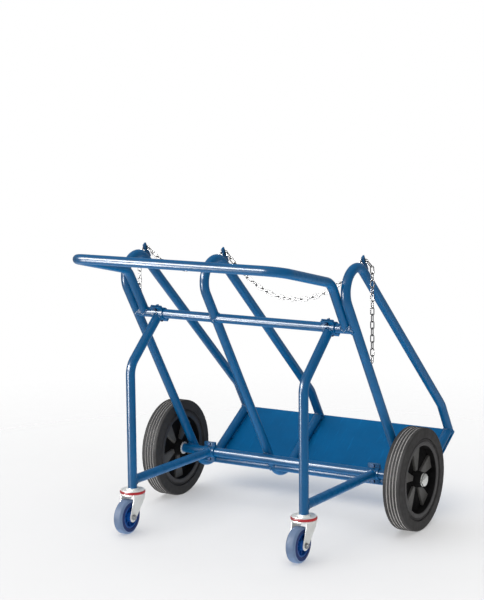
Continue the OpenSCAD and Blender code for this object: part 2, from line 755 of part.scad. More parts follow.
hoop(-hoop_x);  // hoop_left
hoop(mid_hoop_x);  // hoop_middle
hoop(hoop_x);  // hoop_right
cross_tube(-hoop_x, mid_hoop_x, upper_u);  // upper_cross_left
cross_tube(mid_hoop_x, hoop_x, upper_u);  // upper_cross_right
cross_tube(-hoop_x, mid_hoop_x, lower_u);  // lower_cross_left
cross_tube(mid_hoop_x, hoop_x, lower_u);  // lower_cross_right
footplate();
handle();
axle_tube();
axle_shaft();
axle_washers();
axle_caps();
wheel_centre(-1);  // wheel_centre_left
wheel_centre(1);  // wheel_centre_right
tyre(-1);  // tyre_left
tyre(1);  // tyre_right
bearing(-1);  // bearing_left
bearing(1);  // bearing_right
castor_leg(-1);  // castor_leg_left
castor_leg(1);  // castor_leg_right
castor_strut(-1);  // castor_strut_left
castor_strut(1);  // castor_strut_right
at_upper_clamp(-1) clamp_cap(clamp_in_r);  // upper_clamp_left
at_upper_clamp(1) clamp_cap(clamp_in_r);  // upper_clamp_right
at_lower_clamp(-1) clamp_cap(axle_clamp_in_r);  // lower_clamp_left
at_lower_clamp(1) clamp_cap(axle_clamp_in_r);  // lower_clamp_right
clamp_bolts();
clamp_nuts();
castor_stem(-1);  // castor_stem_left
castor_stem(1);  // castor_stem_right
castor_balls(-1);  // castor_balls_left
castor_balls(1);  // castor_balls_right
castor_seal(-1);  // castor_seal_left
castor_seal(1);  // castor_seal_right
castor_fork(-1);  // castor_fork_left
castor_fork(1);  // castor_fork_right
castor_sleeve(-1);  // castor_sleeve_left
castor_sleeve(1);  // castor_sleeve_right
castor_bolt(-1);  // castor_bolt_left
castor_bolt(1);  // castor_bolt_right
castor_centre(-1);  // castor_centre_left
castor_centre(1);  // castor_centre_right
castor_tyre(-1);  // castor_tyre_left
castor_tyre(1);  // castor_tyre_right
chain_tab(-hoop_x);  // chain_tab_left
chain_tab(mid_hoop_x);  // chain_tab_middle
chain_tab(hoop_x);  // chain_tab_right
chain_anchors();
chain_run(-hoop_x, mid_hoop_x);  // chain_left
chain_run(mid_hoop_x, hoop_x);  // chain_right
chain_tail(-1, tail_left_n);  // chain_tail_left
chain_tail(1, tail_right_n);  // chain_tail_right
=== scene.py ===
"""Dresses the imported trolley: painted tube and welds, wheels, castors and chain, on a pale stage."""

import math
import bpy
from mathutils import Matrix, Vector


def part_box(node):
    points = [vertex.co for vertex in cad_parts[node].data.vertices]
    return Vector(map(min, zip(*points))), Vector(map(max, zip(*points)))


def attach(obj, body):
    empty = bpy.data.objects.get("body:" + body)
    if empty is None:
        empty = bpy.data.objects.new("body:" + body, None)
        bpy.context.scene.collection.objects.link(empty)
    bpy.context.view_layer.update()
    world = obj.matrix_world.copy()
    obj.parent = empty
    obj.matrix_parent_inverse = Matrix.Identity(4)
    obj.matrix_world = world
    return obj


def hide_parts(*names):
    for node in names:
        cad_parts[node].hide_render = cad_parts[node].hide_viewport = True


bl_info = {
    "name": "Cylinder trolley dressing",
    "version": (1, 0, 0),
    "blender": (4, 5, 0),
    "location": "3D View > Sidebar > Trolley",
    "description": "Builds the finished surfaces of a cylinder trolley on its packed frame",
    "category": "Object",
}

import bmesh
import bpy
from bpy.props import FloatProperty, FloatVectorProperty, IntProperty, PointerProperty
from bpy.types import Operator, Panel, PropertyGroup
from mathutils import Matrix, Vector

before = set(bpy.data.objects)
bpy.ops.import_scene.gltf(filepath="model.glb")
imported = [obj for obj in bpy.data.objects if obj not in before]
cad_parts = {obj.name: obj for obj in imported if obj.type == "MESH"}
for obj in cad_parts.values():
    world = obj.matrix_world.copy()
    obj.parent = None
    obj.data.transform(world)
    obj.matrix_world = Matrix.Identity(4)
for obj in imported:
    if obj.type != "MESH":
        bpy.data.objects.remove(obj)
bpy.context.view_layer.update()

X_AXIS = Vector((1, 0, 0))
Y_AXIS = Vector((0, 1, 0))
Z_AXIS = Vector((0, 0, 1))
SIDES = {"left": -1, "right": 1}

# Lays a flat outline on edge: its two directions become Y and Z, and its thickness lies along X
ON_EDGE = Matrix(((0, 0, 1, 0), (1, 0, 0, 0), (0, 1, 0, 0), (0, 0, 0, 1)))

# Turns a piece end for end about X
ABOUT_X = Matrix.Rotation(math.pi, 4, "X")

# Gap in metres at a seat that is pressed, clamped or slid together
SEAT_GAP = 0.0001

# Height in millimetres of the frame that the camera's focal length is given for
SENSOR_H = 36


# Properties a user would change

def length(name, description, mm):
    """A length property, written in millimetres."""
    return FloatProperty(name=name, description=description, default=mm / 1000, unit="LENGTH", precision=4)


def angle(name, description, degrees):
    """An angle property, written in degrees."""
    return FloatProperty(name=name, description=description, default=math.radians(degrees), subtype="ANGLE")


def amount(name, description, value):
    """A plain number property."""
    return FloatProperty(name=name, description=description, default=value)


def linear(level):
    """One screen colour level from 0 to 255 as a linear value."""
    part = level / 255
    if part <= 0.04045:
        return part / 12.92
    return ((part + 0.055) / 1.055) ** 2.4


def number(name, description, value, least=1):
    """A whole-number property."""
    return IntProperty(name=name, description=description, default=value, min=least)


def colour(name, description, *levels):
    """A colour property, written in screen levels."""
    shade = tuple(linear(level) for level in levels)
    return FloatVectorProperty(
        name=name, description=description, default=shade, subtype="COLOR", min=0, max=1
    )


class TubeSizes(PropertyGroup):
    """Sizes of the tube frame, its handle and its footplate."""

    lean: angle("Lean", "Angle by which the frame leans back", 32.5)
    tube_d: length("Tube", "Outside diameter of the frame tube", 27)
    hoop_x: length("Hoop place", "Distance of an outer hoop from the middle", 363)
    middle_x: length("Middle hoop place", "Place of the middle hoop along the axle", -89.5)
    toe_reach: length("Toe reach", "Distance from the rear legs to the toe", 303)
    base_drop: length("Base drop", "Distance of the base runs below the axle", 124)
    kink_rise: length("Kink rise", "Height of the front legs' kink above the base runs", 104)
    front_rake: angle("Front rake", "Angle of the front legs to the rear legs", 15.3)
    top_r: length("Top bend", "Bend radius at the top of the hoops", 62)
    base_r: length("Foot bend", "Bend radius at the rear foot of the hoops", 75)
    kink_r: length("Kink bend", "Bend radius at the front legs' kink", 60)
    upper_rise: length("Upper cross tubes", "Height of the upper cross tubes above the axle", 538)
    lower_drop: length("Lower cross tubes", "Distance of the lower cross tubes below the axle", 58)
    weld_gap: length("Weld gap", "Gap left at a welded seat", 0.2)
    plate_t: length("Plate", "Thickness of the footplate", 4)
    plate_corner_r: length("Plate corners", "Corner radius of the footplate", 10)
    handle_gap: length("Handle gap", "Gap between the handle's legs and the outer hoops", 2)
    handle_rise: length("Handle rise", "Height of the handle's bends above the upper cross tubes", 162)
    handle_bend: angle("Handle bend", "Angle through which the handle bends back", 45)
    arm_len: length("Arms", "Length of the handle arms from the bend to the grip", 274)
    handle_bend_r: length("Handle bend radius", "Bend radius of the handle's lower bends", 60)
    grip_corner_r: length("Grip corners", "Bend radius of the grip's corners", 50)
    bead_r: length("Weld bead", "Radius of a weld bead", 2.6)
    bead_ripple: length("Weld ripple", "Distance between the ripples of a weld bead", 3)
    stitch_len: length("Stitch weld", "Length of a stitch weld on the footplate", 40)
    plate_ease: length("Plate edges", "Ease on the edges of the footplate", 0.8)


class CastorSizes(PropertyGroup):
    """Sizes of the castor frames, their clamps and the castors."""

    leg_bend_z: length("Leg bend", "Height of the bend in the castor legs", 484)
    leg_bend_r: length("Leg bend radius", "Bend radius of the castor legs", 60)
    clamp_w: length("Clamp width", "Width of the clamps along the tube", 38)
    clamp_t: length("Clamp plate", "Thickness of the clamp plates", 4)
    clamp_flange: length("Clamp flange", "Width of the clamp flanges beyond the tube", 16)
    clamp_gap: length("Clamp gap", "Gap between the halves of a clamp", 2)
    clamp_bolt_d: length("Clamp bolt", "Diameter of the clamp bolts", 6)
    castor_h: length("Castor height", "Height of a castor up to the castor leg", 128)
    wheel_d: length("Castor wheel", "Diameter of a castor wheel", 100)
    tyre_w: length("Castor tyre", "Width of a castor tyre", 32)
    trail: length("Trail", "Distance of the castor axle behind the swivel axis", 31)
    fork_gap: length("Fork gap", "Clear width between the fork legs", 42)
    fork_t: length("Fork sheet", "Thickness of the fork's sheet", 3)
    head_d: length("Swivel head", "Diameter of the swivel head", 74)
    cup_d: length("Top plate", "Diameter of the head's top plate", 70)
    seal_w: length("Seal", "Width of the seal ring under the top plate", 10)
    ball_d: length("Ball", "Diameter of a swivel ball", 7)
    king_d: length("King pin", "Diameter of the king pin", 12)
    axle_bolt_d: length("Axle bolt", "Diameter of the castor axle bolts", 8)
    centre_d: length("Castor centre", "Diameter of the castor wheel's centre", 66)
    boss_h: length("Boss", "Height of the boss above the top plate", 4)
    cup_t: length("Top plate sheet", "Thickness of the head's top plate", 2.5)
    eye_r: length("Fork eye", "Radius of a fork leg's end round the axle", 14)
    rivet_h: length("Rivet head", "Height and overhang of the king pin's riveted end", 4)
    sleeve_t: length("Sleeve", "Wall of the sleeve on the axle bolt, with its clearance", 2.1)


class WheelSizes(PropertyGroup):
    """Sizes of the main wheels and the fittings on their axle."""

    wheel_d: length("Wheel", "Outside diameter of a main wheel", 300)
    tyre_w: length("Tyre", "Width of the tyre", 54)
    centre_d: length("Wheel centre", "Diameter of the wheel centre", 222)
    rim_opening_d: length("Rim opening", "Clear diameter inside the rim band", 198)
    hub_d: length("Hub", "Outside diameter of the hub", 50)
    hub_len: length("Hub length", "Length of the hub along the axle", 58)
    bearing_d: length("Bearing", "Outside diameter of the bearing sleeve", 28.1)
    spoke_n: number("Spokes", "Number of spokes in a wheel centre", 5, 3)
    spoke_rim_w: length("Spoke at the rim", "Width of a spoke where it meets the rim band", 46)
    spoke_hub_w: length("Spoke at the hub", "Width of a spoke where it meets the hub", 12)
    spoke_inset: length("Spoke inset", "Depth of the spoke faces below the rim band's edge", 16)
    spoke_phase: angle("Spoke phase", "Turn of the first spoke", 38)
    web_t: length("Web", "Thickness of the web behind the spokes", 4)
    groove_n: number("Grooves", "Number of grooves round the tread", 4)
    groove_pitch: length("Groove spacing", "Distance between two tread grooves", 9.4)
    groove_w: length("Groove width", "Width of a tread groove", 3.2)
    groove_depth: length("Groove depth", "Depth of a tread groove", 4)
    shoulder_r: length("Shoulder", "Radius of the tyre's shoulders", 8)
    side_step: length("Side step", "Depth of the step in the tyre's side walls", 3)
    step_r: length("Step radius", "Radius at which the side walls step in", 120)
    moat_w: length("Side groove", "Width and depth of the groove at the foot of the step", 2.5)
    washer_t: length("Washers", "Thickness of the axle washers", 2)
    shaft_d: length("Shaft", "Diameter of the axle shaft", 20)
    axle_tube_d: length("Axle tube", "Outside diameter of the axle tube", 27)


class ChainSizes(PropertyGroup):
    """Sizes of the retaining chain and its tabs."""

    wire_d: length("Wire", "Diameter of the chain wire", 3)
    pitch: length("Pitch", "Pitch of the chain", 19)
    link_w: length("Link width", "Outside width of a link", 13)
    link_gap: length("Link gap", "Play between two links", 0.3)
    slack: amount("Slack", "Length of the chain across a bay as a multiple of the straight distance", 1.135)
    tail_right_n: number("Right tail", "Number of links in the right tail", 15)
    tail_left_n: number("Left tail", "Number of links in the left tail", 9)
    first_drop: angle("First drop", "Slope of a tail's first link", 45)
    second_drop: angle("Second drop", "Slope of a tail's second link", 85)
    tab_w: length("Tab width", "Width of the chain tabs", 14)
    tab_h: length("Tab height", "Height of the chain tabs above the front legs' tops", 40)
    tab_foot: length("Tab foot", "Length of a chain tab on the front leg", 10)
    tab_t: length("Tab plate", "Thickness of the chain tabs", 5)


class Finishes(PropertyGroup):
    """Colours of the trolley's finishes."""

    paint: colour("Paint", "Blue of the painted tube", 1, 88, 139)
    zinc: colour("Zinc", "Bright zinc plate on forks, caps and washers", 236, 237, 234)
    steel: colour("Steel", "Bare steel of shafts", 176, 178, 180)
    fastener: colour("Fasteners", "Dark steel of the clamp bolts and nuts", 44, 60, 84)
    chain: colour("Chain", "Zinc-plated chain", 150, 149, 148)
    tyre: colour("Tyre", "Dark grey rubber of the main tyres", 56, 55, 55)
    # Painted highlight: this pale colour fills the tread's grooves as the highlight on the rib edges; on the
    # rest of the tyre it is a faint dusting.
    dust: colour("Dust", "Dust in the tread's grooves", 206, 204, 202)
    plastic: colour("Wheel centre", "Dark grey plastic of the wheel centres", 80, 79, 77)
    # Painted shade: this near-black stands for the deep shade between the spokes and colours the wheel
    # centre's web, hub and inner rim band.
    pocket: colour("Pockets", "Black of the pockets between the spokes", 8, 8, 8)
    castor_side: colour("Castor side", "Blue-grey sides of a castor tyre", 38, 54, 100)
    castor_blue: colour("Castor centre", "Bright blue centre of a castor wheel", 6, 76, 150)
    castor_tread: colour("Castor tread", "Pale blue-grey tread of a castor wheel", 104, 124, 154)
    seal: colour("Seal", "Red swivel seal", 176, 34, 42)


class StageLook(PropertyGroup):
    """Camera, light and floor."""

    focal: length("Focal length", "Focal length of the camera on a 36 mm high frame", 99.337)
    yaw: angle("Yaw", "Camera's turn to the left of straight ahead", 31.70)
    pitch: angle("Pitch", "Camera's tilt below the horizon", 8.09)
    roll: angle("Roll", "Camera's roll to the right", 0.53)
    eye: FloatVectorProperty(
        name="Eye",
        description="Place of the camera",
        default=(2.44023, -4.08299, 1.33616),
        subtype="TRANSLATION",
    )
    floor: colour("Floor", "Pale floor", 230, 230, 231)
    floor_reach: length("Floor reach", "Distance of the floor's edges from its middle", 60000)
    fade_start: length("Fade start", "Distance at which the floor starts to fade into the backdrop", 500)
    fade_end: length("Fade end", "Distance at which the floor has faded into the backdrop", 2400)
    floor_glow: amount("Floor glow", "How far the backdrop shows through the floor and its shadows", 0.3)
    horizon_light: amount("Horizon light", "Strength of the even light near the horizon", 0.26)
    zenith_light: amount("Zenith light", "Strength of the even light from straight above", 0.16)
    aim_z: length("Aim height", "Height of the point that the lamps face", 400)
    sun_light: amount("Overhead light", "Strength of the wide lamp overhead", 2.2)
    sun_spread: angle("Lamp spread", "Width of the wide lamps", 80)
    fill_light: amount("Fill light", "Strength of the wide lamp behind the camera", 1.0)
    front_light: amount("Front light", "Strength of the wide lamp on the far side of the trolley", 0.9)
    bounce_light: amount("Bounce light", "Strength of the light that a wide pale floor throws back up", 3.5)
    box_light: amount("Softbox", "Power of the softbox to the left", 370)
    box_w: length("Softbox width", "Width of the softbox", 2600)
    box_h: length("Softbox height", "Height of the softbox", 600)
    box_turn: angle("Softbox turn", "Turn of the softbox to the left of the camera", 63)
    box_rise: angle("Softbox rise", "Height of the softbox above the trolley as an angle", 23)
    box_reach: length("Softbox distance", "Distance of the softbox from the trolley", 3500)
    strip_light: amount("Strip light", "Power of the low strip light to the left", 34)
    strip_w: length("Strip width", "Width of the strip light", 150)
    strip_h: length("Strip height", "Height of the strip light", 600)
    strip_z: length("Strip place", "Height of the strip light's middle", 320)
    strip_reach: length("Strip distance", "Distance of the strip light from the trolley", 1700)


def tubes():
    """The tube sizes that are set on the scene."""
    return bpy.context.scene.trolley_tubes


def castors():
    """The castor sizes that are set on the scene."""
    return bpy.context.scene.trolley_castors


def wheels():
    """The wheel sizes that are set on the scene."""
    return bpy.context.scene.trolley_wheels


def chains():
    """The chain sizes that are set on the scene."""
    return bpy.context.scene.trolley_chain


def finishes():
    """The colours that are set on the scene."""
    return bpy.context.scene.trolley_finishes


def stage_look():
    """The stage values that are set on the scene."""
    return bpy.context.scene.trolley_stage


# Places in the frame

def middle_of(node):
    """The middle of a node's box."""
    low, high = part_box(node)
    return (Vector(low) + Vector(high)) / 2


def axle_middle():
    """The middle of the axle."""
    return middle_of("axle_tube")


def leaning():
    """The leaning frame: X along the axle, Y forward, Z up the rear legs, with the axle at its origin."""
    return Matrix.Translation(axle_middle()) @ Matrix.Rotation(tubes().lean, 4, "X")


def leg_v():
    """How far the rear legs stand in front of the axle."""
    t = tubes()
    return (wheels().axle_tube_d + t.tube_d) / 2 + t.weld_gap


def at_x(x, points):
    """Flat [forward, up] points of the leaning frame, moved to a place along the axle and into the world."""
    place = leaning()
    return [place @ Vector((x, v, u)) for v, u in points]


def plate_top():
    """Height of the footplate's upper face in the leaning frame."""
    t = tubes()
    return -t.base_drop - t.tube_d / 2 - t.weld_gap


def apex():
    """Where the lines of a front leg and a rear leg meet, in the leaning frame."""
    t = tubes()
    return -t.base_drop + t.kink_rise + t.toe_reach / math.tan(t.front_rake)


def top_of_front_leg():
    """Where a front leg runs into its top bend, as [forward, up] in the leaning frame."""
    t = tubes()
    back = t.top_r / math.tan(t.front_rake / 2)
    return leg_v() + back * math.sin(t.front_rake), apex() - back * math.cos(t.front_rake)


# Mesh tools

def mm(*lengths):
    """Lengths in millimetres as metres."""
    return [value / 1000 for value in lengths]


def new_face(bm, corners, material=0):
    """A face from corners, leaving out corners that repeat."""
    unique = []
    for corner in corners:
        if corner not in unique:
            unique.append(corner)
    if len(unique) < 3:
        return
    made = bm.faces.new(unique)
    made.material_index = material


def bent_path(points, radii):
    """Straight runs through points, with an arc of the given radius at each inner point."""
    step = math.radians(3)
    path = [Vector(points[0])]
    for before, corner, after, radius in zip(points, points[1:], points[2:], radii[1:]):
        into = (corner - before).normalized()
        out = (after - corner).normalized()
        turn = into.angle(out)
        start = corner - into * radius * math.tan(turn / 2)
        axis = into.cross(out).normalized()
        centre = start + axis.cross(into) * radius
        count = max(2, math.ceil(turn / step))
        for i in range(count + 1):
            path.append(centre + Matrix.Rotation(turn * i / count, 3, axis) @ (start - centre))
    path.append(Vector(points[-1]))
    return path


def spaced(path, step, closed):
    """The same path with points at an even distance."""
    points = path + [path[0]] if closed else path
    runs = [(b - a).length for a, b in zip(points, points[1:])]
    total = sum(runs)
    just_short = total - 1e-9
    count = max(3, round(total / step))
    out = []
    for i in range(count if closed else count + 1):
        goal = min(total * i / count, just_short)
        k = 0
        while goal > runs[k]:
            goal -= runs[k]
            k += 1
        out.append(points[k].lerp(points[k + 1], goal / runs[k]))
    return out


def circle(count):
    """Cosine and sine of evenly spaced turns round a full circle."""
    turns = [2 * math.pi * k / count for k in range(count)]
    return [(math.cos(turn), math.sin(turn)) for turn in turns]


def join_rings(bm, first, second, material=0):
    """Faces between two rings that have as many corners."""
    count = len(first)
    for k in range(count):
        n = (k + 1) % count
        new_face(bm, (first[k], first[n], second[n], second[k]), material)


def sweep(bm, path, radius, sides=40, closed=False):
    """A round bar along a path; radius is one number, or one for each point."""
    count = len(path)
    radii = radius if isinstance(radius, list) else [radius] * count
    rings = []
    normal = None
    for i, point in enumerate(path):
        before = path[i - 1] if closed or i > 0 else point
        after = path[(i + 1) % count] if closed or i < count - 1 else point
        along = (after - before).normalized()
        if normal is None:
            normal = along.orthogonal()
        normal = (normal - along * normal.dot(along)).normalized()
        across = along.cross(normal)
        spokes = [normal * c + across * s for c, s in circle(sides)]
        rings.append([bm.verts.new(point + spoke * radii[i]) for spoke in spokes])
    for first, second in zip(rings, rings[1:]):
        join_rings(bm, first, second)
    if closed:
        first, last = rings[0], rings[-1]
        shift = min(range(sides), key=lambda s: (last[0].co - first[s].co).length)
        join_rings(bm, last, first[shift:] + first[:shift])
    else:
        new_face(bm, rings[0][::-1])
        new_face(bm, rings[-1])


def filleted(points, radii, steps):
    """A closed outline with its corners rounded, each by at most half of the shorter side."""
    count = len(points)
    nearly_half = 0.49
    straight = math.pi / 2 - 0.01
    out = []
    for i, point in enumerate(points):
        corner = Vector(point)
        to_before = Vector(points[i - 1]) - corner
        to_after = Vector(points[(i + 1) % count]) - corner
        radius = radii[i] if isinstance(radii, (list, tuple)) else radii
        half = to_before.angle(to_after) / 2
        if radius <= 0 or half > straight:
            out.append(corner)
            continue
        room = nearly_half * min(to_before.length, to_after.length)
        back = min(radius / math.tan(half), room)
        start = corner + to_before.normalized() * back
        end = corner + to_after.normalized() * back
        for k in range(steps + 1):
            part = k / steps
            out.append(start.lerp(corner, part).lerp(corner.lerp(end, part), part))
    return out


def arc(centre, radius, first, last, steps):
    """Points of an arc in a plane, angles in radians."""
    out = []
    for k in range(steps + 1):
        turn = first + (last - first) * k / steps
        out.append((centre[0] + radius * math.cos(turn), centre[1] + radius * math.sin(turn)))
    return out


def shrunk(outline, by):
    """A closed outline moved inwards."""
    count = len(outline)
    area = sum(a.x * b.y - b.x * a.y for a, b in zip(outline, outline[1:] + outline[:1]))
    hand = 1 if area > 0 else -1
    out = []
    for i, point in enumerate(outline):
        before = (point - outline[i - 1]).normalized()
        after = (outline[(i + 1) % count] - point).normalized()
        inward = Vector((-before.y - after.y, before.x + after.x)) * hand
        out.append(point + inward.normalized() * by)
    return out


def prism(bm, outline, low, high, place, bevel):
    """A plate with a closed outline and eased edges, between two heights."""
    outline = [Vector(p) for p in outline]
    small = shrunk(outline, bevel)
    layers = ((small, low), (outline, low + bevel), (outline, high - bevel), (small, high))
    rings = [[bm.verts.new(place @ Vector((p.x, p.y, z))) for p in ring] for ring, z in layers]
    for first, second in zip(rings, rings[1:]):
        join_rings(bm, first, second)
    new_face(bm, rings[0][::-1])
    new_face(bm, rings[-1])


def lathe(bm, profile, place, segments, material_at=None):
    """A turned ring with a closed [radius, height] profile; material_at picks a finish by both."""
    on_axis = 1e-6
    rings = []
    for radius, height in profile:
        if radius < on_axis:
            rings.append([bm.verts.new(place @ Vector((0, 0, height)))] * segments)
            continue
        corners = [Vector((radius * c, radius * s, height)) for c, s in circle(segments)]
        rings.append([bm.verts.new(place @ corner) for corner in corners])
    for i, ring in enumerate(rings):
        n = (i + 1) % len(rings)
        r = (profile[i][0] + profile[n][0]) / 2
        z = (profile[i][1] + profile[n][1]) / 2
        join_rings(bm, ring, rings[n], material_at(r, z) if material_at else 0)


def hexagon(across):
    """Outline of a hexagon with a given width across its flats."""
    corner = across / math.sqrt(3)
    return [(corner * c, corner * s) for c, s in circle(6)]


def bead(bm, path, closed=True):
    """A rippled weld bead along a path."""
    t = tubes()
    per_ripple = 4
    points = spaced(path, t.bead_ripple / per_ripple, closed)
    mean, swing = 0.92 * t.bead_r, 0.12 * t.bead_r
    radii = [mean + swing * math.cos(2 * math.pi * k / per_ripple) for k in range(len(points))]
    sweep(bm, points, radii, 10, closed)


def saddle(at, along, upright, radius, other_radius):
    """The loop where a bar along one direction meets a bar that stands across it."""
    across = along.cross(upright)
    loop = []
    for c, s in circle(72):
        side = radius * s
        reach = math.sqrt(max(other_radius ** 2 - side ** 2, 0))
        loop.append(at + along * reach + upright * radius * c + across * side)
    return loop


def place_on(at, along):
    """A frame at a point whose Z runs along a direction."""
    turn = Z_AXIS.rotation_difference(along).to_matrix().to_4x4()
    return Matrix.Translation(at) @ turn


def added(name, data):
    """A new object in the scene."""
    made = bpy.data.objects.new(name, data)
    bpy.context.collection.objects.link(made)
    return made


def mesh_from(name, bm, materials):
    """A finished mesh with its materials."""
    mesh = bpy.data.meshes.new(name)
    bm.to_mesh(mesh)
    bm.free()
    for material in materials:
        mesh.materials.append(material)
    return mesh


def piece(name, bm, materials, body, nodes, sharp=40):
    """Turns a mesh into a piece that rides a body and stands for CAD nodes."""
    bmesh.ops.recalc_face_normals(bm, faces=bm.faces)
    mesh = mesh_from(name, bm, materials)
    mesh.shade_smooth()
    mesh.set_sharp_from_angle(angle=math.radians(sharp))
    made = added(name, mesh)
    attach(made, body)
    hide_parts(*nodes)


def painted(node, bm, ending="_tube"):
    """A blue piece of the frame that stands for one CAD node."""
    piece(node + ending, bm, [finish("blue_paint")], "frame", [node])


# Finishes

def node_material(name):
    """An empty node material and its shader."""
    made = bpy.data.materials.new(name)
    made.use_nodes = True
    return made, made.node_tree.nodes["Principled BSDF"]


def feed(owner, node, inputs):
    """Links a node's inputs to sockets, or gives them plain values."""
    for name, value in inputs.items():
        if isinstance(value, bpy.types.NodeSocket):
            owner.node_tree.links.new(value, node.inputs[name])
        else:
            node.inputs[name].default_value = value


def new_node(owner, kind, inputs):
    """A new shader node of a material or a world, with its inputs fed."""
    made = owner.node_tree.nodes.new("ShaderNode" + kind)
    feed(owner, made, inputs)
    return made


def noise(material, scale, detail, stretch=None):
    """A noise texture in object space."""
    at = new_node(material, "TexCoord", {}).outputs["Object"]
    if stretch:
        at = new_node(material, "Mapping", {"Vector": at, "Scale": stretch}).outputs["Vector"]
    return new_node(material, "TexNoise", {"Vector": at, "Scale": scale, "Detail": detail}).outputs["Fac"]


def ramped(owner, value, low, high, from_value=0.0, to_value=1.0):
    """A value spread from one range to another."""
    spread = {"Value": value, "From Min": low, "From Max": high, "To Min": from_value, "To Max": to_value}
    return new_node(owner, "MapRange", spread).outputs["Result"]


def mixed(material, factor, first, second):
    """Two colours, or a socket and a colour, mixed by a factor."""
    mix = new_node(material, "Mix", {})
    mix.data_type = "RGBA"
    ends = {"A": first, "B": second}
    for name, end in ends.items():
        if not isinstance(end, bpy.types.NodeSocket):
            ends[name] = (*end, 1)
    feed(material, mix, {"Factor": factor, **ends})
    return mix.outputs["Result"]


def bumped(material, height, strength, depth):
    """Fine relief from a height value."""
    relief = {"Height": height, "Strength": strength, "Distance": depth}
    return new_node(material, "Bump", relief).outputs["Normal"]


def tinted(shade, factor):
    """A darker or lighter tone of a colour."""
    return tuple(min(1.0, part * factor) for part in shade)


def paint_finish(name, shade):
    """Glossy powder coat with a faint orange peel and a few scuffs."""
    made, shader = node_material(name)
    cloudy = ramped(made, noise(made, 7, 4), 0.35, 0.65)
    toned = mixed(made, cloudy, tinted(shade, 0.93), tinted(shade, 1.06))
    scuffed = ramped(made, noise(made, 95, 8), 0.72, 0.80, 0.0, 0.4)
    feed(made, shader, {
        "Base Color": mixed(made, scuffed, toned, tinted(shade, 1.5)),
        "Roughness": ramped(made, noise(made, 40, 5), 0.3, 0.7, 0.22, 0.34),
        "Specular IOR Level": 0.08,
        "Coat Weight": 0.65,
        "Coat Roughness": 0.3,
        "Normal": bumped(made, noise(made, 260, 2), strength=0.006, depth=0.0003),
    })
    return made


def plate_finish(name, shade):
    """Painted plate, dulled and scraped towards its toe by what slides on and off it."""
    made, shader = node_material(name)
    drawn_out = (1, 0.1, 0.1)
    cloudy = ramped(made, noise(made, 9, 4), 0.35, 0.65)
    toned = mixed(made, cloudy, tinted(shade, 0.92), tinted(shade, 1.08))
    scraped = ramped(made, noise(made, 150, 7, drawn_out), 0.6, 0.72, 0.0, 0.35)
    feed(made, shader, {
        "Base Color": mixed(made, scraped, toned, tinted(shade, 1.8)),
        "Roughness": ramped(made, noise(made, 60, 5), 0.3, 0.7, 0.5, 0.7),
        "Specular IOR Level": 0.04,
        "Normal": bumped(made, noise(made, 150, 5, drawn_out), strength=0.02, depth=0.0003),
    })
    return made


def metal_finish(name, shade, smooth, rough, grain, metallic):
    """Plated or bare metal with soft mottling and fine drawn marks."""
    made, shader = node_material(name)
    across_grain = (1, 1, 6)
    mottled = ramped(made, noise(made, 60, 4), 0.3, 0.7)
    feed(made, shader, {
        "Base Color": mixed(made, mottled, tinted(shade, 0.93), tinted(shade, 1.03)),
        "Metallic": metallic,
        "Roughness": ramped(made, noise(made, 260, 4), 0.3, 0.7, smooth, rough),
        "Normal": bumped(made, noise(made, grain, 3, across_grain), strength=0.012, depth=0.0001),
    })
    return made


def rubber_finish(name, shade, dust, dust_and_highlight_amount, smooth, rough):
    """Moulded rubber with a pale bloom: a faint dusting on most rubber, and in the tread's grooves a pale
    finish that is painted highlight of the groove edges.
    """
    made, shader = node_material(name)
    dust_and_highlight_mask = ramped(made, noise(made, 30, 6), 0.35, 0.75, 0.0, dust_and_highlight_amount)
    feed(made, shader, {
        "Base Color": mixed(made, dust_and_highlight_mask, shade, dust),
        "Roughness": ramped(made, noise(made, 70, 4), 0.3, 0.7, smooth, rough),
        "Specular IOR Level": 0.16,
        "Normal": bumped(made, noise(made, 700, 3), strength=0.18, depth=0.0005),
    })
    return made


def plastic_finish(name, shade, smooth, rough):
    """Moulded plastic with a fine grain."""
    made, shader = node_material(name)
    cloudy = ramped(made, noise(made, 25, 4), 0.35, 0.65)
    feed(made, shader, {
        "Base Color": mixed(made, cloudy, tinted(shade, 0.9), tinted(shade, 1.15)),
        "Roughness": ramped(made, noise(made, 120, 4), 0.3, 0.7, smooth, rough),
        "Normal": bumped(made, noise(made, 1100, 2), strength=0.12, depth=0.0003),
    })
    return made


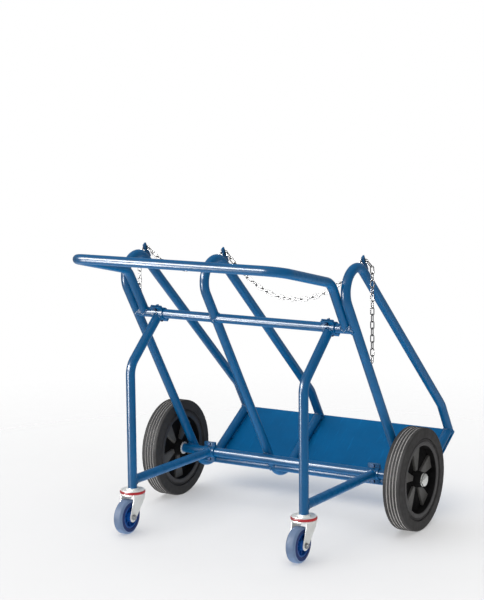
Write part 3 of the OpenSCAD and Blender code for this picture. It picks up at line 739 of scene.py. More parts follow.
def finish(kind):
    """A named finish, made on first use."""
    name = kind + "_finish"
    if name in bpy.data.materials:
        return bpy.data.materials[name]
    f = finishes()
    makers = {
        "blue_paint": (paint_finish, f.paint),
        "plate_paint": (plate_finish, f.paint),
        "zinc_plate": (metal_finish, f.zinc, 0.36, 0.42, 500, 0.4),
        "cap_zinc": (metal_finish, f.zinc, 0.12, 0.15, 300, 0.85),
        "bare_steel": (metal_finish, f.steel, 0.28, 0.45, 600, 1.0),
        "fastener_steel": (metal_finish, f.fastener, 0.3, 0.5, 600, 1.0),
        "chain_zinc": (metal_finish, f.chain, 0.18, 0.3, 800, 0.9),
        "tyre_rubber": (rubber_finish, f.tyre, f.dust, 0.02, 0.55, 0.78),
        # Painted highlight: the pale finish of the tread's grooves.
        "tread_dust": (rubber_finish, tinted(f.dust, 0.9), f.dust, 0.9, 0.55, 0.78),
        "wheel_plastic": (plastic_finish, f.plastic, 0.42, 0.58),
        "wheel_rim": (plastic_finish, f.tyre, 0.4, 0.55),
        # Painted shade: the near-black finish of the wheel centre's recesses.
        "wheel_pocket": (rubber_finish, f.pocket, f.tyre, 0.2, 0.8, 0.95),
        "castor_plastic": (plastic_finish, f.castor_blue, 0.3, 0.45),
        "castor_side": (rubber_finish, f.castor_side, tinted(f.castor_side, 1.3), 0.4, 0.4, 0.6),
        "castor_tread": (rubber_finish, f.castor_tread, tinted(f.castor_tread, 1.25), 0.5, 0.45, 0.65),
        "seal_plastic": (plastic_finish, f.seal, 0.25, 0.4),
    }
    make, *values = makers[kind]
    return make(name, *values)


def keep_cad(kind, *nodes):
    """Gives CAD nodes that stay in view a finish."""
    for node in nodes:
        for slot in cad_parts[node].material_slots:
            slot.material = finish(kind)


# Tube frame

def hoop_places():
    """Name and place along the axle of each hoop."""
    t = tubes()
    return ("left", -t.hoop_x), ("middle", t.middle_x), ("right", t.hoop_x)


def toe_v():
    """How far the front legs' feet stand in front of the axle."""
    return leg_v() + tubes().toe_reach


def hoop_path(x):
    """Centre line of a hoop, from the front leg's foot round to the front end of the base run."""
    t = tubes()
    base = -t.base_drop
    run_end = toe_v() - 0.4 * t.tube_d
    corners = [(toe_v(), plate_top()), (toe_v(), base + t.kink_rise), (leg_v(), apex())]
    corners += [(leg_v(), base), (run_end, base)]
    return bent_path(at_x(x, corners), [0, t.kink_r, t.top_r, t.base_r, 0])


def plate_welds(bm, x):
    """Stitch welds on both sides of a base run along the footplate."""
    t = tubes()
    stitches = 3
    margin = 0.3
    first = leg_v() + t.base_r
    room = toe_v() - t.tube_d / 2 - first - t.stitch_len
    height = plate_top() + 0.6 * t.bead_r
    for side in SIDES.values():
        beside = x + side * 0.43 * t.tube_d
        for k in range(stitches):
            start = first + room * (k + margin) / (stitches - 1 + 2 * margin)
            bead(bm, at_x(beside, [(start, height), (start + t.stitch_len, height)]), False)


class TROLLEY_OT_hoops(Operator):
    """Build the three bent-tube hoops with their welds"""

    bl_idname = "trolley.hoops"
    bl_label = "Hoops"

    def execute(self, context):
        t = tubes()
        radius = t.tube_d / 2
        turn = leaning().to_3x3()
        forward, up = turn @ Y_AXIS, turn @ Z_AXIS
        axle_r = wheels().axle_tube_d / 2
        weld_r = 0.36 * t.tube_d
        weld_u = plate_top() + 0.3 * t.bead_r
        for name, x in hoop_places():
            bm = bmesh.new()
            sweep(bm, hoop_path(x), radius)
            toe = leaning() @ Vector((x, toe_v(), -t.base_drop))
            bead(bm, saddle(toe, -forward, up, radius, radius))
            axle_weld = [(x + weld_r * c, axle_r, weld_r * s) for c, s in circle(24)]
            bead(bm, [leaning() @ Vector(p) for p in axle_weld])
            rear_half = [(x + radius * c, toe_v() + radius * s, weld_u) for c, s in circle(32) if s < 0]
            bead(bm, [leaning() @ Vector(p) for p in rear_half], False)
            plate_welds(bm, x)
            painted("hoop_" + name, bm)
        return {"FINISHED"}


class TROLLEY_OT_cross_tubes(Operator):
    """Build the cross tubes between the hoops"""

    bl_idname = "trolley.cross_tubes"
    bl_label = "Cross tubes"

    def execute(self, context):
        t = tubes()
        radius = t.tube_d / 2
        up = leaning().to_3x3() @ Z_AXIS
        inset = X_AXIS * 0.3 * radius
        bays = (("left", -t.hoop_x, t.middle_x), ("right", t.middle_x, t.hoop_x))
        for level, u in (("upper", t.upper_rise), ("lower", -t.lower_drop)):
            for side, first, last in bays:
                start = leaning() @ Vector((first, leg_v(), u))
                end = leaning() @ Vector((last, leg_v(), u))
                bm = bmesh.new()
                sweep(bm, [start + inset, end - inset], radius)
                bead(bm, saddle(start, X_AXIS, up, radius, radius))
                bead(bm, saddle(end, -X_AXIS, up, radius, radius))
                painted(level + "_cross_" + side, bm)
        return {"FINISHED"}


class TROLLEY_OT_footplate(Operator):
    """Build the sloping footplate"""

    bl_idname = "trolley.footplate"
    bl_label = "Footplate"

    def execute(self, context):
        t = tubes()
        half = t.hoop_x + t.tube_d / 2
        back = leg_v() + t.base_r
        front = toe_v() + t.tube_d / 2
        corners = [(-half, back), (half, back), (half, front), (-half, front)]
        outline = filleted(corners, t.plate_corner_r, 8)
        bm = bmesh.new()
        prism(bm, outline, plate_top() - t.plate_t, plate_top(), leaning(), t.plate_ease)
        piece("footplate_sheet", bm, [finish("plate_paint")], "frame", ["footplate"])
        return {"FINISHED"}


class TROLLEY_OT_handle(Operator):
    """Build the bent push handle"""

    bl_idname = "trolley.handle"
    bl_label = "Handle"

    def execute(self, context):
        t = tubes()
        radius = t.tube_d / 2
        x = t.hoop_x - t.tube_d - t.handle_gap
        bend_u = t.upper_rise + t.handle_rise
        grip_v = leg_v() - t.arm_len * math.sin(t.handle_bend)
        grip_u = bend_u + t.arm_len * math.cos(t.handle_bend)
        half = [(leg_v(), t.upper_rise + 0.3 * radius), (leg_v(), bend_u), (grip_v, grip_u)]
        corners = at_x(x, half) + at_x(-x, half[::-1])
        bends = [0, t.handle_bend_r, t.grip_corner_r, t.grip_corner_r, t.handle_bend_r, 0]
        bm = bmesh.new()
        sweep(bm, bent_path(corners, bends), radius)
        up = leaning().to_3x3() @ Z_AXIS
        for side in SIDES.values():
            foot = leaning() @ Vector((side * x, leg_v(), t.upper_rise))
            bead(bm, saddle(foot, up, X_AXIS, radius, radius))
        painted("handle", bm)
        return {"FINISHED"}


# Axle and main wheels

def box_span(node, axis=0):
    """Lowest and highest value of a node along an axis."""
    low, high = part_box(node)
    return low[axis], high[axis]


def ring_profile(inner, outer, low, high, ease):
    """Closed profile of a plain ring with eased edges."""
    return filleted([(inner, low), (outer, low), (outer, high), (inner, high)], ease, 3)


def along_axle(x, side=1):
    """A frame on the axle at a place along it, with Z pointing outwards."""
    at = axle_middle()
    return place_on(Vector((x, at.y, at.z)), X_AXIS * side)


def cap_profile(bore, radius, height):
    """Closed profile of a domed end cap with a dimple in its middle."""
    wall = 0.42 * height
    foot = 0.001
    steps = 12
    profile = [(bore, 0), (radius - foot, 0), (radius, foot), (radius, wall)]
    for k in range(1, steps - 1):
        turn = math.pi / 2 * k / steps
        profile.append((radius * math.cos(turn) ** 0.9, wall + (height - wall) * math.sin(turn)))
    brim = profile[-1][1]
    profile += [(0.24 * radius, brim), (0.16 * radius, 0.95 * height), (0.0, 0.93 * height)]
    return profile + [(0.0, 0.5 * height), (bore, 0.5 * height)]


class TROLLEY_OT_axle(Operator):
    """Build the axle tube, its washers and its end caps"""

    bl_idname = "trolley.axle"
    bl_label = "Axle"

    def execute(self, context):
        w = wheels()
        bore = w.shaft_d / 2 + SEAT_GAP
        tube_low, tube_high = box_span("axle_tube")
        bm = bmesh.new()
        wall = ring_profile(bore, w.axle_tube_d / 2, tube_low, tube_high, ease=0.0006)
        lathe(bm, wall, along_axle(0), 64)
        painted("axle_tube", bm)

        outer_end = box_span("axle_washers")[1]
        cap_low, cap_high = box_span("axle_caps", 2)
        cap_h = box_span("axle_caps")[1] - outer_end
        dome = cap_profile(bore, (cap_high - cap_low) / 2, cap_h)
        bm = bmesh.new()
        for side in SIDES.values():
            lathe(bm, dome, along_axle(side * outer_end, side), 72)
        piece("axle_end_caps", bm, [finish("cap_zinc")], "frame", ["axle_caps"])

        washer_low, washer_high = box_span("axle_washers", 2)
        disc = ring_profile(bore, (washer_high - washer_low) / 2, 0, w.washer_t, ease=0.0004)
        bm = bmesh.new()
        for side in SIDES.values():
            for start in (tube_high, outer_end - w.washer_t):
                lathe(bm, disc, along_axle(side * start, side), 72)
        piece("axle_washer_set", bm, [finish("zinc_plate")], "frame", ["axle_washers"])
        keep_cad("bare_steel", "axle_shaft", "bearing_left", "bearing_right")
        return {"FINISHED"}


def tyre_profile():
    """Closed profile of a main tyre: stepped side walls, round shoulders and a grooved tread."""
    w = wheels()
    outer = w.wheel_d / 2
    seat = w.centre_d / 2 + SEAT_GAP
    half = w.tyre_w / 2
    inset = half - w.side_step
    moat = inset - w.moat_w
    lip = w.step_r - w.moat_w
    wall = [(seat, inset), (lip, inset), (lip, moat), (w.step_r, moat), (w.step_r, half), (outer, half)]
    wall_eases = mm(0.6, 1, 0.6, 0.6, 1.2) + [w.shoulder_r]
    corners = [(r, -z) for r, z in wall]
    eases = wall_eases.copy()
    floor = outer - w.groove_depth
    wide, narrow = w.groove_w / 2, 0.4 * w.groove_w
    for k in range(w.groove_n):
        z = w.groove_pitch * (k - (w.groove_n - 1) / 2)
        corners += [(outer, z - wide), (floor, z - narrow), (floor, z + narrow), (outer, z + wide)]
        eases += mm(0.9, 0.8, 0.8, 0.9)
    return filleted(corners + wall[::-1], eases + wall_eases[::-1], 6)


def spoke_outline(inner, outer):
    """Outline of one tapered spoke along X."""
    w = wheels()
    hub, rim = w.spoke_hub_w / 2, w.spoke_rim_w / 2
    ease = 0.002
    return filleted([(inner, -hub), (outer, -rim), (outer, rim), (inner, hub)], ease, 3)


def wheel_centre(bm, place, side):
    """A moulded centre: rim band, web, tapered spokes on both faces and a long hub; the web, the hub and the
    inside of the rim band are near-black painted shade.
    """
    w = wheels()
    taper, crown, sunk, margin = mm(4, 3, 2, 0.5)
    rim_in, rim_out = w.rim_opening_d / 2, w.centre_d / 2
    rim_half = w.tyre_w / 2 - sunk
    hub_r, hub_half = w.hub_d / 2, w.hub_len / 2
    bore = w.bearing_d / 2 + SEAT_GAP
    spoke_half = rim_half - w.spoke_inset
    black_r, black_half = rim_in + margin, rim_half - crown

    # Painted shade: the inside of the rim band, the web and the hub take the near-black finish that stands
    # for deep shade.
    def rim_material(r, z):
        return 1 if r < black_r and abs(z) < black_half else 2

    def painted_shade_material(r, z):
        return 1

    rim = [(rim_out, -rim_half), (rim_out, rim_half), (rim_in, rim_half), (rim_in - crown, 0)]
    rim += [(rim_in, -rim_half)]
    lathe(bm, filleted(rim, mm(1, 1, 2.5, 0, 2.5), 4), place, 120, rim_material)
    web = ring_profile(hub_r - taper, rim_in, -w.web_t / 2, w.web_t / 2, ease=0)
    lathe(bm, web, place, 96, painted_shade_material)
    face = [(bore, hub_half), (hub_r - taper, hub_half), (hub_r, spoke_half)]
    hub = [(r, -z) for r, z in face] + [(hub_r + taper, 0)] + face[::-1]
    lathe(bm, filleted(hub, mm(0.8, 2, 4, 0, 4, 2, 0.8), 4), place, 72, painted_shade_material)
    root, tip = hub_r - 0.006, rim_in - 0.0012
    spoke = spoke_outline(root, tip)
    for k in range(w.spoke_n):
        turn = w.spoke_phase * side + 2 * math.pi * k / w.spoke_n
        spot = place @ Matrix.Rotation(turn, 4, "Z")
        prism(bm, spoke, -spoke_half, spoke_half, spot, bevel=0.0015)


class TROLLEY_OT_main_wheels(Operator):
    """Build the two main wheels"""

    bl_idname = "trolley.main_wheels"
    bl_label = "Main wheels"

    def execute(self, context):
        w = wheels()
        groove_edge = w.wheel_d / 2 - 0.0008
        tread_half = w.tyre_w / 2 - w.shoulder_r
        inside_r = w.centre_d / 2 + 0.01

        # Painted highlight: the groove walls and floors take the pale groove finish.
        def tread_material(r, z):
            return 1 if abs(z) < tread_half and inside_r < r < groove_edge else 0

        for name, side in SIDES.items():
            body = "wheel_" + name
            node = "tyre_" + name
            place = along_axle(middle_of(node).x, side)
            bm = bmesh.new()
            lathe(bm, tyre_profile(), place, 160, tread_material)
            rubbers = [finish("tyre_rubber"), finish("tread_dust")]
            piece(node + "_rubber", bm, rubbers, body, [node], sharp=30)
            node = "wheel_centre_" + name
            bm = bmesh.new()
            wheel_centre(bm, place, side)
            plastics = [finish("wheel_plastic"), finish("wheel_pocket"), finish("wheel_rim")]
            piece(node + "_moulding", bm, plastics, body, [node], sharp=30)
        return {"FINISHED"}


# Castor frames and clamps

def swivel_axis(side):
    """A point on a castor's swivel axis, on the floor."""
    at = middle_of("castor_stem_" + side)
    return Vector((at.x, at.y, 0))


def upper_clamp_at(side):
    """Middle of the upper cross tube where a castor leg is clamped."""
    at = leaning() @ Vector((0, leg_v(), tubes().upper_rise))
    return Vector((swivel_axis(side).x, at.y, at.z))


def lower_clamp_at(side):
    """Middle of the axle tube where a castor strut is clamped."""
    at = axle_middle()
    return Vector((swivel_axis(side).x, at.y, at.z))


def leg_bend_at(side):
    """Where the lines of a castor leg's two straight runs meet."""
    at = swivel_axis(side)
    return Vector((at.x, at.y, castors().leg_bend_z))


def clamp_frame(at, towards):
    """A frame on a clamped tube: X along the tube, Z towards the strut."""
    z = (towards - at).normalized()
    y = z.cross(X_AXIS)
    turn = Matrix((X_AXIS, y, z)).transposed().to_4x4()
    return Matrix.Translation(at) @ turn


def upper_clamp_frame(side):
    """A frame on the upper cross tube under a castor leg's clamp."""
    return clamp_frame(upper_clamp_at(side), leg_bend_at(side))


def lower_clamp_frame(side):
    """A frame on the axle tube under a castor strut's clamp."""
    return clamp_frame(lower_clamp_at(side), lower_clamp_at(side) - Y_AXIS)


def half_clamp(bm, place, tube_r):
    """One half of a clamp: a saddle over the tube with a flange on each side."""
    c = castors()
    inner = tube_r + SEAT_GAP
    outer = inner + c.clamp_t
    low = c.clamp_gap / 2
    high = low + c.clamp_t
    end = inner + c.clamp_flange
    inner_turn = math.asin(low / inner)
    outer_turn = math.asin(high / outer)
    outline = [(-end, low)]
    outline += arc((0, 0), inner, math.pi - inner_turn, inner_turn, 24)
    outline += [(end, low), (end, high)]
    outline += arc((0, 0), outer, outer_turn, math.pi - outer_turn, 24)
    outline += [(-end, high)]
    prism(bm, outline, -c.clamp_w / 2, c.clamp_w / 2, place @ ON_EDGE, bevel=0.0007)


class TROLLEY_OT_castor_frames(Operator):
    """Build the castor legs and struts with their halves of the clamps"""

    bl_idname = "trolley.castor_frames"
    bl_label = "Castor frames"

    def execute(self, context):
        c = castors()
        radius = tubes().tube_d / 2
        shell = radius + 0.5 * c.clamp_t
        clamp_r = radius + c.clamp_t
        for name in SIDES:
            foot = swivel_axis(name) + Z_AXIS * c.castor_h
            top = upper_clamp_at(name)
            bend = leg_bend_at(name)
            up_strut = (top - bend).normalized()
            bm = bmesh.new()
            sweep(bm, bent_path([foot, bend, top - up_strut * shell], [0, c.leg_bend_r, 0]), radius)
            half_clamp(bm, upper_clamp_frame(name), radius)
            bead(bm, saddle(top, -up_strut, X_AXIS, radius, clamp_r))
            painted("castor_leg_" + name, bm)

            front = lower_clamp_at(name)
            rear = Vector((front.x, foot.y, front.z))
            bm = bmesh.new()
            sweep(bm, [rear + Y_AXIS * 0.4 * radius, front - Y_AXIS * shell], radius)
            half_clamp(bm, lower_clamp_frame(name), wheels().axle_tube_d / 2)
            bead(bm, saddle(front, -Y_AXIS, X_AXIS, radius, clamp_r))
            bead(bm, saddle(rear, Y_AXIS, Z_AXIS, radius, radius))
            painted("castor_strut_" + name, bm)
        return {"FINISHED"}


def clamp_pair(name):
    """Level, frame and tube diameter of the two clamps on one side."""
    return (
        ("upper", upper_clamp_frame(name), tubes().tube_d),
        ("lower", lower_clamp_frame(name), wheels().axle_tube_d),
    )


def bolt_places(place, tube_d):
    """Frames of a clamp's two bolts, each with Z towards the strut side."""
    c = castors()
    reach = tube_d / 2 + SEAT_GAP + c.clamp_t + (c.clamp_flange - c.clamp_t) / 2
    return [place @ Matrix.Translation((0, hand * reach, 0)) for hand in (-1, 1)]


def hex_head(bm, place, across, low, high):
    """A hexagon head or nut with eased corners and a round crown."""
    prism(bm, filleted(hexagon(across), 0.0006, 3), low, high, place, bevel=0.0005)
    crown = ring_profile(0.0, 0.48 * across, high - 0.0002, high + 0.0003, ease=0.0002)
    lathe(bm, crown, place, 36)


def thread(bm, place, diameter, low, high):
    """A threaded end: a row of fine ridges."""
    pitch = 0.00125
    count = max(2, round((high - low) / pitch))
    step = (high - low) / count
    profile = [(0.0, low)]
    for k in range(count):
        z = low + step * k
        profile += [(0.44 * diameter, z), (0.5 * diameter, z + 0.5 * step)]
    profile += [(0.42 * diameter, high), (0.0, high)]
    lathe(bm, profile, place, 32)


class TROLLEY_OT_clamps(Operator):
    """Build the front clamp halves with their bolts and nuts"""

    bl_idname = "trolley.clamps"
    bl_label = "Clamps"

    def execute(self, context):
        c = castors()
        across = 1.6 * c.clamp_bolt_d
        tall = 0.65 * c.clamp_bolt_d
        grip = c.clamp_gap / 2 + c.clamp_t
        thread_d = c.clamp_bolt_d - 0.0004
        thread_end = -grip - tall - 0.004
        shank_r = c.clamp_bolt_d / 2 - SEAT_GAP
        shank = ring_profile(0.0, shank_r, -grip - 0.2 * tall, grip + 0.0005, ease=0)
        bolts = bmesh.new()
        nuts = bmesh.new()
        for name in SIDES:
            for level, place, tube_d in clamp_pair(name):
                bm = bmesh.new()
                half_clamp(bm, place @ ABOUT_X, tube_d / 2)
                painted(level + "_clamp_" + name, bm, "_half")
                for spot in bolt_places(place, tube_d):
                    hex_head(bolts, spot, across, grip, grip + tall)
                    lathe(bolts, shank, spot, 32)
                    thread(bolts, spot, thread_d, thread_end, -grip - 0.8 * tall)
                    hex_head(nuts, spot @ ABOUT_X, across, grip, grip + tall)
        dark = [finish("fastener_steel")]
        piece("clamp_bolt_set", bolts, dark, "frame", ["clamp_bolts"], sharp=30)
        piece("clamp_nut_set", nuts, dark, "frame", ["clamp_nuts"], sharp=30)
        return {"FINISHED"}


# Castors

def cup_under():
    """Height of the top plate's underside."""
    c = castors()
    return c.castor_h - c.boss_h - c.cup_t


def crown_top():
    """Height of the fork crown's upper face, on which the balls run."""
    play = 0.0002
    return cup_under() - castors().ball_d - play


def crown_under():
    """Height of the fork crown's underside."""
    return crown_top() - castors().fork_t


def touch(point, centre, radius, hand):
    """Turn at which a line from a point touches a circle, on its left (1) or right (-1)."""
    away = Vector(point) - Vector(centre)
    return math.atan2(away.y, away.x) + hand * math.acos(radius / away.length)


def fork_outline():
    """Side outline of a fork leg, as [back to front, height] from the swivel axis on the floor."""
    c = castors()
    eye = (-c.trail, c.wheel_d / 2)
    half = 0.38 * c.head_d
    shoulder = crown_under() - 0.014
    top = crown_top() - 0.0005
    front, back = (half, shoulder), (-half, shoulder)
    first = touch(back, eye, c.eye_r, 1)
    last = touch(front, eye, c.eye_r, -1) + 2 * math.pi
    return [(half, top), (-half, top), back, *arc(eye, c.eye_r, first, last, 20), front]


def castor_fork(bm, base):
    """A pressed fork: a round crown with a rolled rim and two broad legs."""
    c = castors()
    under, top = crown_under(), crown_top()
    rolled = under - 0.002
    crown_r = c.head_d / 2 - 0.001
    king = c.king_d / 2 + SEAT_GAP
    flat_r, roll_r = crown_r - 0.006, crown_r - 0.003
    crown = [(king, under), (flat_r, under), (roll_r, rolled)]
    crown += [(crown_r, rolled), (crown_r, top), (king, top)]
    lathe(bm, filleted(crown, mm(0, 2, 0.8, 1, 2, 0.5), 4), base, 96)
    for low in (-c.fork_gap / 2 - c.fork_t, c.fork_gap / 2):
        prism(bm, fork_outline(), low, low + c.fork_t, base @ ON_EDGE, bevel=0.0006)


def castor_seal(bm, base):
    """A soft ring round the swivel balls."""
    c = castors()
    inner, outer = c.head_d / 2 - c.seal_w, c.head_d / 2
    low = crown_top() + SEAT_GAP
    high = cup_under() - 0.0003
    third = (high - low) / 3
    corners = [(inner, low), (outer, low), (outer, high), (inner, high)]
    lathe(bm, filleted(corners, [0.0003, third, third, 0.0006], 6), base, 96)


def castor_stem(bm, base):
    """The fixed top of a castor: boss, dished plate, king pin and its riveted end."""
    c = castors()
    boss_r = tubes().tube_d / 2 + 0.004
    boss_top = c.castor_h
    cup_r = c.cup_d / 2
    dish_r, brim_r = cup_r - 0.006, cup_r - 0.003
    under = cup_under()
    cup_top = under + c.cup_t
    dish = under + 0.0012
    pin = c.king_d / 2
    head = pin + c.rivet_h
    rivet_top = crown_under() - 0.0003
    rivet_low = rivet_top - c.rivet_h
    profile = [(0.0, boss_top), (boss_r, boss_top), (boss_r, dish), (dish_r, dish)]
    profile += [(brim_r, cup_top), (cup_r, cup_top), (cup_r, under), (pin, under)]
    profile += [(pin, rivet_top), (head, rivet_top), (head, rivet_top - c.rivet_h / 2)]
    profile += [(pin, rivet_low), (0.0, rivet_low)]
    eases = mm(0, 1.2, 2, 2, 1, 1, 0.6, 0, 0, 0.5, 1, 1, 0)
    lathe(bm, filleted(profile, eases, 4), base, 72)


def castor_axle(base):
    """A frame on a castor's axle, with Z along it."""
    c = castors()
    return base @ Matrix.Translation((0, -c.trail, c.wheel_d / 2)) @ Matrix.Rotation(math.pi / 2, 4, "Y")


def castor_bolt(bm, place):
    """The castor's axle bolt with a head, a nut and two washers."""
    c = castors()
    bolt_r = c.axle_bolt_d / 2
    grip = c.fork_gap / 2 + c.fork_t + SEAT_GAP
    across = 1.7 * c.axle_bolt_d
    tall = 0.8 * c.axle_bolt_d
    washer_t = 0.0012
    seat = grip + washer_t
    shank_end = grip + 0.5 * tall
    lathe(bm, ring_profile(0.0, bolt_r, -shank_end, shank_end, ease=0), place, 32)
    for spot in (place, place @ ABOUT_X):
        lathe(bm, ring_profile(bolt_r, 0.62 * across, grip, seat, ease=0.0003), spot, 48)
        hex_head(bm, spot, across, seat, grip + tall)


def castor_centre(bm, place):
    """The castor wheel's centre: hub, dished web with ribs and rim."""
    c = castors()
    sleeve_r = c.axle_bolt_d / 2 + c.sleeve_t
    bore = sleeve_r + SEAT_GAP
    hub_t, rim_t, web, play, sunk, taper = mm(7, 5, 4, 0.3, 1.5, 1)
    hub_r = sleeve_r + hub_t
    hub_half = c.fork_gap / 2 - play
    rim_out = c.centre_d / 2
    rim_in = rim_out - rim_t
    rim_half = c.tyre_w / 2 - sunk
    face = [(bore, hub_half), (hub_r, hub_half), (hub_r + taper, web)]
    face += [(rim_in, web), (rim_in, rim_half), (rim_out, rim_half)]
    eases = mm(0.4, 1, 2, 1.5, 0.8, 0.4)
    profile = [(r, -z) for r, z in face] + face[::-1]
    lathe(bm, filleted(profile, eases + eases[::-1], 4), place, 72)
    ribs = 8
    rib_half = 0.001
    inner, outer = hub_r - rib_half, rim_in + rib_half
    rib = [(inner, -rib_half), (outer, -rib_half), (outer, rib_half), (inner, rib_half)]
    for k in range(ribs):
        spot = place @ Matrix.Rotation(2 * math.pi * k / ribs, 4, "Z")
        prism(bm, rib, -0.75 * rim_half, 0.75 * rim_half, spot, bevel=0.0004)


def castor_tyre(bm, place):
    """A castor tyre with a crowned tread of its own finish."""
    c = castors()
    inner, outer = c.centre_d / 2 + SEAT_GAP, c.wheel_d / 2
    half = c.tyre_w / 2
    tread_edge = outer - 0.0065
    wall_r, tread_half = outer - 0.008, half - 0.006
    face = [(inner, half), (wall_r, half), (outer, tread_half)]
    eases = mm(0.8, 4, 5)
    profile = [(r, -z) for r, z in face] + face[::-1]

    def tyre_material(r, z):
        return 1 if r > tread_edge else 0

    lathe(bm, filleted(profile, eases + eases[::-1], 6), place, 120, tyre_material)


class TROLLEY_OT_castors(Operator):
    """Build the two swivel castors"""

    bl_idname = "trolley.castors"
    bl_label = "Castors"

    def execute(self, context):
        for name in SIDES:
            base = Matrix.Translation(swivel_axis(name))
            axle = castor_axle(base)
            body, wheel = "castor_" + name, "castor_wheel_" + name
            tyre_looks = ["castor_side", "castor_tread"]
            parts = (
                ("castor_stem_", castor_stem, base, ["zinc_plate"], "zinc_plate", "frame", 35),
                ("castor_fork_", castor_fork, base, ["zinc_plate"], "zinc_plate", body, 35),
                ("castor_seal_", castor_seal, base, ["seal_plastic"], "seal_plastic", body, 35),
                ("castor_bolt_", castor_bolt, axle, ["bare_steel"], "zinc_plate", body, 30),
                ("castor_centre_", castor_centre, axle, ["castor_plastic"], "castor_plastic", wheel, 35),
                ("castor_tyre_", castor_tyre, axle, tyre_looks, "castor_rubber", wheel, 40),
            )
            for kind, build, place, looks, slot, rides, sharp in parts:
                node = kind + name
                bm = bmesh.new()
                build(bm, place)
                piece(node + "_form", bm, [finish(look) for look in looks], rides, [node], sharp)
            keep_cad("bare_steel", "castor_balls_" + name, "castor_sleeve_" + name)
        return {"FINISHED"}


# Chain

def link_side():
    """Half the width of a link's centre line."""
    c = chains()
    return (c.link_w - c.wire_d) / 2


def flat_run():
    """Distance between the hinge points of a link that lies flat: the length of its centre line."""
    c = chains()
    return c.pitch + c.wire_d + c.link_gap


def upright_run():
    """Distance between the hinge points of a link that stands upright."""
    return 2 * chains().pitch - flat_run()


def tab_back():
    """Rear edge of a tab, sunk into the front leg, as [forward, up] in the leaning frame."""
    sunk = 0.003
    v, u = top_of_front_leg()
    return v + tubes().tube_d / 2 - sunk, u


def slot_foot():
    """The foot of a tab's slot as [forward, up] in the leaning frame."""
    c = chains()
    v, u = tab_back()
    return v + 2 * c.wire_d, u + c.tab_h - 1.6 * c.link_w


def anchor_at(x):
    """The middle of the link that sits in the tab at a place along the axle."""
    return leaning() @ Vector((x, *slot_foot())) + Z_AXIS * link_side()


def add_link(bm, first, last, stands):
    """A welded link between the two points where it hinges, with a faint swelling at the weld."""
    wire_r = chains().wire_d / 2
    side = link_side()
    straight = flat_run() / 2 - side
    along = (last - first).normalized()
    width = along.cross(Y_AXIS) if stands else Y_AXIS
    centre = (first + last) / 2
    steps = 16
    loop = []
    for end, start in ((straight, -0.5), (-straight, 0.5)):
        for k in range(steps + 1):
            turn = math.pi * (k / steps + start)
            loop.append(centre + along * (end + side * math.cos(turn)) + width * side * math.sin(turn))
    radii = [wire_r] * len(loop)
    seam = centre - width * side
    swelling = ((-0.0016, 0.0), (-0.0008, 0.0001), (0.0, 0.00016), (0.0008, 0.0001), (0.0016, 0.0))
    for place, extra in swelling:
        loop.append(seam + along * place)
        radii.append(wire_r + extra)
    sweep(bm, loop, radii, 14, True)


def links_before(i):
    """Distance along a chain to the start of link i, counted from a flat link."""
    return math.ceil(i / 2) * flat_run() + math.floor(i / 2) * upright_run()


def hang_constant(half_span, total):
    """Shape constant of a hanging curve, found by halving."""
    halvings = 60
    low, high = half_span / 4, 20 * half_span
    for _ in range(halvings):
        middle = (low + high) / 2
        if 2 * middle * math.sinh(half_span / middle) > total:
            low = middle
        else:
            high = middle
    return (low + high) / 2


def hanging_joints(first_x, last_x):
    """Hinge points of a chain that hangs between two tabs."""
    c = chains()
    half_span = (last_x - first_x - upright_run()) / 2
    count = 2 * round((2 * half_span * c.slack / c.pitch - 1) / 2) + 1
    total = links_before(count)
    shape = hang_constant(half_span, total)
    end_rise = math.hypot(shape, total / 2)
    at = anchor_at((first_x + last_x) / 2)
    joints = []
    for i in range(count + 1):
        s = links_before(i) - total / 2
        joints.append(at + Vector((shape * math.asinh(s / shape), 0, math.hypot(shape, s) - end_rise)))
    return joints


def tail_joints(side, count):
    """Hinge points of a tail that leaves an outer tab and hangs beside its hoop."""
    c = chains()
    joints = [anchor_at(side * tubes().hoop_x) + X_AXIS * side * upright_run() / 2]
    drops = [c.first_drop, c.second_drop] + [math.pi / 2] * count
    for i in range(count):
        run = flat_run() if i % 2 == 0 else upright_run()
        joints.append(joints[-1] + Vector((side * math.cos(drops[i]), 0, -math.sin(drops[i]))) * run)
    return joints


def links_along(bm, joints):
    """Links between hinge points, flat and upright in turn."""
    for i, (first, last) in enumerate(zip(joints, joints[1:])):
        add_link(bm, first, last, i % 2 == 1)


def tab_outline():
    """Side outline of a chain tab, as [forward, up] in the leaning frame."""
    c = chains()
    back, u = tab_back()
    front = back + c.tab_w
    low, high = u - c.tab_foot, u + c.tab_h
    lean = tubes().lean
    rise = Vector((math.sin(lean), math.cos(lean)))
    across = Vector((math.cos(lean), -math.sin(lean)))
    play = 0.001
    half_slot = (c.wire_d + play) / 2
    foot = Vector(slot_foot()) - rise * (c.wire_d / 2 + SEAT_GAP)
    lower, upper = foot + across * half_slot, foot - across * half_slot
    lower_out = lower + rise * ((front - lower.x) / rise.x)
    upper_out = upper + rise * ((front - upper.x) / rise.x)
    corners = [(back, low), (front, low), lower_out, lower, upper, upper_out, (front, high), (back, high)]
    return filleted(corners, mm(0, 3, 1, 1.5, 1.5, 0.6, 1, 2), 4)


